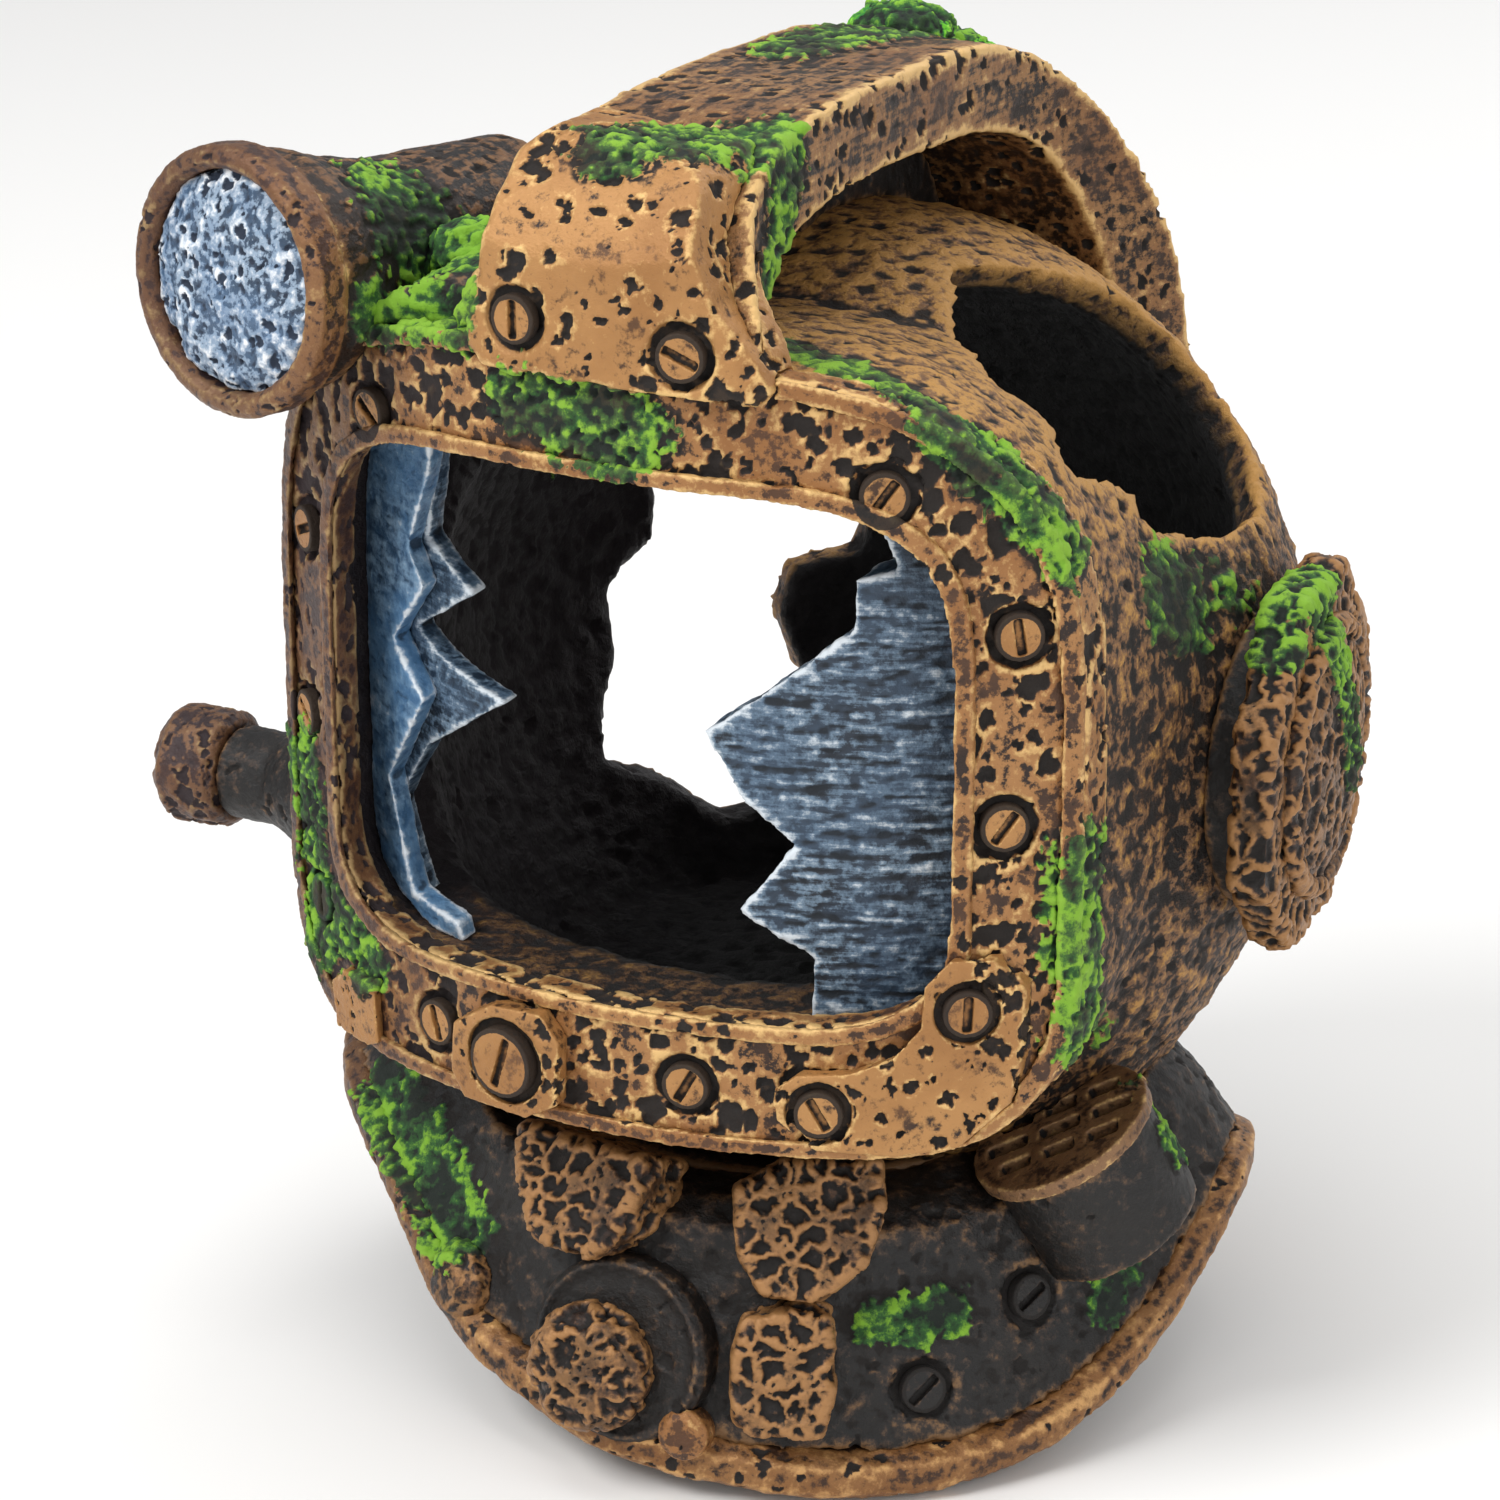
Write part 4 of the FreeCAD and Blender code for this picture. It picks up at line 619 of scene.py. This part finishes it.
# painted shade: a near-black web fills the gap under the crest, where the crest's shadow falls
castPiece({"name": "crestWeb", "nodes": ["crest_web"], "voxel": 0.45, "material": blackResin,
           "slot": "dark_resin", "soften": 3,
           "relief": {"Lump Size": 6.0, "Lump Height": 1.0, "Grain Height": 0.5, "Pit Share": 0.2,
                      "Seed": 59.0}})
castPiece({"name": "lampBody", "nodes": ["lamp_barrel"], "voxel": 0.5, "material": shadedBarrelCopper,
           "slot": "dark_resin", "soften": 3,
           "relief": {"Lump Height": 0.6, "Grain Height": 0.5, "Pit Share": 0.25, "Seed": 11.0}})
castPiece({"name": "lampBezel", "nodes": ["lamp_bezel"], "voxel": 0.3, "material": frameCopper,
           "slot": "dark_resin",
           "relief": {"Lump Size": 5.0, "Lump Height": 0.5, "Grain Size": 1.4, "Grain Height": 0.4,
                      "Pit Share": 0.35, "Pit Spacing": 2.2, "Pit Radius": 0.7, "Pit Depth": 0.4,
                      "Seed": 13.0}})
castPiece({"name": "lampLens", "nodes": ["lamp_lens"], "voxel": 0.28, "material": lampBlue,
           "slot": "lens_resin",
           "relief": {"Lump Size": 3.2, "Lump Height": 1.6, "Grain Size": 1.5, "Grain Height": 0.7,
                      "Pit Share": 0.7, "Pit Spacing": 2.2, "Pit Radius": 0.75, "Pit Depth": 0.45,
                      "Seed": 17.0}})
castPiece({"name": "lampSaddle", "nodes": ["lamp_saddle"], "voxel": 0.45, "material": blackResin,
           "slot": "dark_resin", "soften": 5,
           "relief": {"Lump Height": 1.4, "Lump Size": 5.0, "Grain Height": 0.6, "Pit Share": 0.2}})
castPiece({"name": "portNeck", "nodes": ["port_neck"], "voxel": 0.5, "material": blackResin,
           "slot": "dark_resin", "relief": plainRelief})
castPiece({"name": "portFlange", "nodes": ["port_flange"], "voxel": 0.36, "material": netCopper,
           "slot": "copper_resin", "soften": 3,
           "relief": {"Lump Height": 0.5, "Grain Height": 0.25, "Pit Share": 0.1, "Net Size": 3.2,
                      "Net Width": 0.8, "Net Height": 0.7, "Seed": 19.0}})
castPiece({"name": "portDisc", "nodes": ["port_rim", "port_disc"], "voxel": 0.32, "material": netCopper,
           "slot": "copper_resin",
           "relief": {"Lump Height": 0.4, "Grain Height": 0.3, "Pit Share": 0.1, "Net Size": 3.0,
                      "Net Width": 0.7, "Net Height": 0.5, "Seed": 23.0}})
castPiece({"name": "knobStem", "nodes": ["knob_stem"], "voxel": 0.3, "material": blackResin,
           "slot": "dark_resin", "relief": plainRelief})
castPiece({"name": "sideKnob", "nodes": ["side_knob"], "voxel": 0.24, "material": frameCopper,
           "slot": "copper_resin", "soften": 4,
           "relief": {"Lump Size": 5.0, "Lump Height": 1.0, "Grain Size": 1.6, "Grain Height": 0.5,
                      "Pit Share": 0.9, "Pit Spacing": 2.3, "Pit Radius": 0.95, "Pit Depth": 0.45,
                      "Seed": 29.0}})
castPiece({"name": "paneRight", "nodes": ["glass_right"], "voxel": 0.4, "material": paneSlate,
           "slot": "pane_resin",
           "relief": {"Lump Size": 6.0, "Lump Height": 1.0, "Grain Size": 1.6, "Grain Height": 0.9,
                      "Stretch": (0.2, 0.2, 1.1), "Pit Share": -1.0, "Seed": 31.0}})
castPiece({"name": "paneLeft", "nodes": ["glass_left"], "voxel": 0.32, "material": paneBlue,
           "slot": "pane_resin",
           "relief": {"Lump Size": 6.0, "Lump Height": 0.7, "Grain Size": 1.6, "Grain Height": 0.4,
                      "Stretch": (0.5, 0.5, 1.2), "Pit Share": -1.0, "Seed": 37.0}})
castPiece({"name": "paneLeftRear", "nodes": ["glass_left_rear"], "voxel": 0.32, "material": paneSlate,
           "slot": "pane_resin",
           "relief": {"Lump Size": 6.0, "Lump Height": 0.8, "Grain Size": 1.6, "Grain Height": 0.3,
                      "Pit Share": -1.0, "Seed": 41.0}})
castPiece({"name": "corseletSkin", "nodes": ["corselet"], "voxel": 0.62, "material": blackResin,
           "slot": "dark_resin",
           "relief": {"Lump Size": 8.0, "Lump Height": 1.6, "Grain Size": 2.2, "Grain Height": 1.0,
                      "Pit Share": 0.25, "Ridge Gain": 2.4}})
castPiece({"name": "corseletRim", "nodes": ["corselet_rim"], "voxel": 0.42, "material": rimTan,
           "slot": "copper_resin", "soften": 4,
           "relief": {"Lump Size": 5.0, "Lump Height": 1.0, "Grain Size": 1.8, "Grain Height": 0.5,
                      "Pit Share": 0.3, "Pit Spacing": 2.4, "Pit Radius": 0.7, "Pit Depth": 0.4}})
castPiece({"name": "footCore", "nodes": ["base_core"], "voxel": 0.8, "material": blackResin,
           "slot": "dark_resin", "relief": {"Lump Height": 0.2, "Grain Height": 0.1, "Pit Share": 0.0}})
castPiece({"name": "regulatorStud", "nodes": ["regulator_stud"], "voxel": 0.2, "material": frameCopper,
           "slot": "copper_resin", "soften": 4,
           "relief": {"Lump Height": 0.3, "Grain Height": 0.3, "Pit Share": 0.3, "Pit Spacing": 2.0,
                      "Pit Radius": 0.5, "Seed": 61.0}})
castPiece({"name": "regulatorDrum", "nodes": ["regulator_drum"], "voxel": 0.3,
           "material": blackResin, "slot": "dark_resin",
           "relief": {"Lump Height": 0.6, "Grain Height": 0.4, "Pit Share": 0.1}})
castPiece({"name": "regulatorKnob", "nodes": ["regulator_knob"], "voxel": 0.24, "material": netCopper,
           "slot": "copper_resin", "soften": 4,
           "relief": {"Lump Size": 4.0, "Lump Height": 0.8, "Grain Height": 0.3, "Pit Share": -1.0,
                      "Net Size": 3.6, "Net Width": 0.9, "Net Height": 1.0, "Seed": 43.0}})
castPiece({"name": "chestPads", "nodes": ["pouch_left", "pouch_right", "hose_block"], "voxel": 0.3,
           "material": netCopper, "slot": "copper_resin", "soften": 8,
           "relief": {"Lump Size": 5.0, "Lump Height": 1.2, "Grain Height": 0.4, "Pit Share": -1.0,
                      "Net Size": 3.0, "Net Width": 0.8, "Net Height": 0.8, "Seed": 47.0}})
castPiece({"name": "ventGrille", "nodes": ["vent_grille"], "voxel": 0.24, "material": grilleCopper,
           "slot": "copper_resin", "soften": 3,
           "relief": {"Lump Height": 0.4, "Grain Height": 0.3, "Pit Share": -1.0, "Seed": 53.0}})
castPiece({"name": "ventCan", "nodes": ["vent_can"], "voxel": 0.4, "material": blackResin,
           "slot": "dark_resin", "soften": 3,
           "relief": {"Lump Height": 0.6, "Grain Height": 0.4, "Pit Share": 0.1}})
castPiece({"name": "corseletHeads", "nodes": ["corselet_screws"], "voxel": 0.18, "material": blackResin,
           "slot": "dark_resin",
           "relief": {"Lump Height": 0.1, "Grain Size": 0.9, "Grain Height": 0.12, "Pit Share": 0.0}})
castPiece({"name": "sideLug", "nodes": ["side_lug"], "voxel": 0.26, "material": netCopper,
           "slot": "dark_resin", "relief": {"Lump Height": 1.0, "Lump Size": 3.0, "Pit Share": 0.0}})
castPiece({"name": "mossTufts", "nodes": ["moss_crown", "moss_crest"], "voxel": 0.3,
           "material": mossPaint,
           "slot": "moss",
           "relief": {"Lump Size": 3.0, "Lump Height": 1.8, "Grain Size": 1.2, "Grain Height": 1.4,
                      "Pit Share": 0.0}})

bpy.data.objects.remove(heads)

# floor, soft lights and the camera
floorMesh = bpy.data.meshes.new("paleFloor")
reach = 3.0
floorMesh.from_pydata([(-reach, -reach, 0), (reach, -reach, 0), (reach, reach, 0), (-reach, reach, 0)],
                      [],
                      [(0, 1, 2, 3)])
floor = bpy.data.objects.new("paleFloor", floorMesh)
bpy.context.scene.collection.objects.link(floor)
floorPaint = bpy.data.materials.new("paleCard")
floorPaint.use_nodes = True
floorPaint.node_tree.nodes["Principled BSDF"].inputs["Base Color"].default_value = paint("#F4F3F1")
floorPaint.node_tree.nodes["Principled BSDF"].inputs["Roughness"].default_value = 0.9
floorMesh.materials.append(floorPaint)

lightsAim = Vector((0, 0, 0.08))
# each light: place, width and watts
studio = {"key": ((-0.45, -0.75, 0.95), 0.6, 9.5), "fill": ((0.85, -0.6, 0.5), 0.9, 3.4),
          "back": ((0.3, 0.9, 0.8), 0.8, 4.0), "top": ((0.0, -0.05, 1.1), 0.8, 3.4)}
for name, (spot, width, watts) in studio.items():
    light = bpy.data.lights.new(name, "AREA")
    light.shape = "DISK"
    light.size = width
    light.energy = watts
    lamp = bpy.data.objects.new(name, light)
    lamp.location = spot
    lamp.rotation_euler = (lightsAim - Vector(spot)).to_track_quat("-Z", "Y").to_euler()
    bpy.context.scene.collection.objects.link(lamp)
world = bpy.data.worlds.new("studioWorld")
world.use_nodes = True
world.node_tree.nodes["Background"].inputs["Color"].default_value = paint("#F6F7F9")
world.node_tree.nodes["Background"].inputs["Strength"].default_value = 0.5
bpy.context.scene.world = world
bpy.context.scene.view_settings.view_transform = "Standard"

viewSet = {"azimuth": 27, "elevation": 21, "distance": 588 * mm, "lens": 120, "sensor": 36,
           "aim": (-5.4 * mm, -3.2 * mm, 73.8 * mm)}
turn, rise = math.radians(viewSet["azimuth"]), math.radians(viewSet["elevation"])
back = Vector((math.sin(turn) * math.cos(rise), -math.cos(turn) * math.cos(rise), math.sin(rise)))
camera = bpy.data.objects.new("camera", bpy.data.cameras.new("camera"))
camera.data.lens = viewSet["lens"]
camera.data.sensor_width = viewSet["sensor"]
camera.data.clip_start = 0.01
camera.location = Vector(viewSet["aim"]) + back * viewSet["distance"]
camera.rotation_euler = (-back).to_track_quat("-Z", "Y").to_euler()
bpy.context.scene.collection.objects.link(camera)
bpy.context.scene.camera = camera
print("stage set")
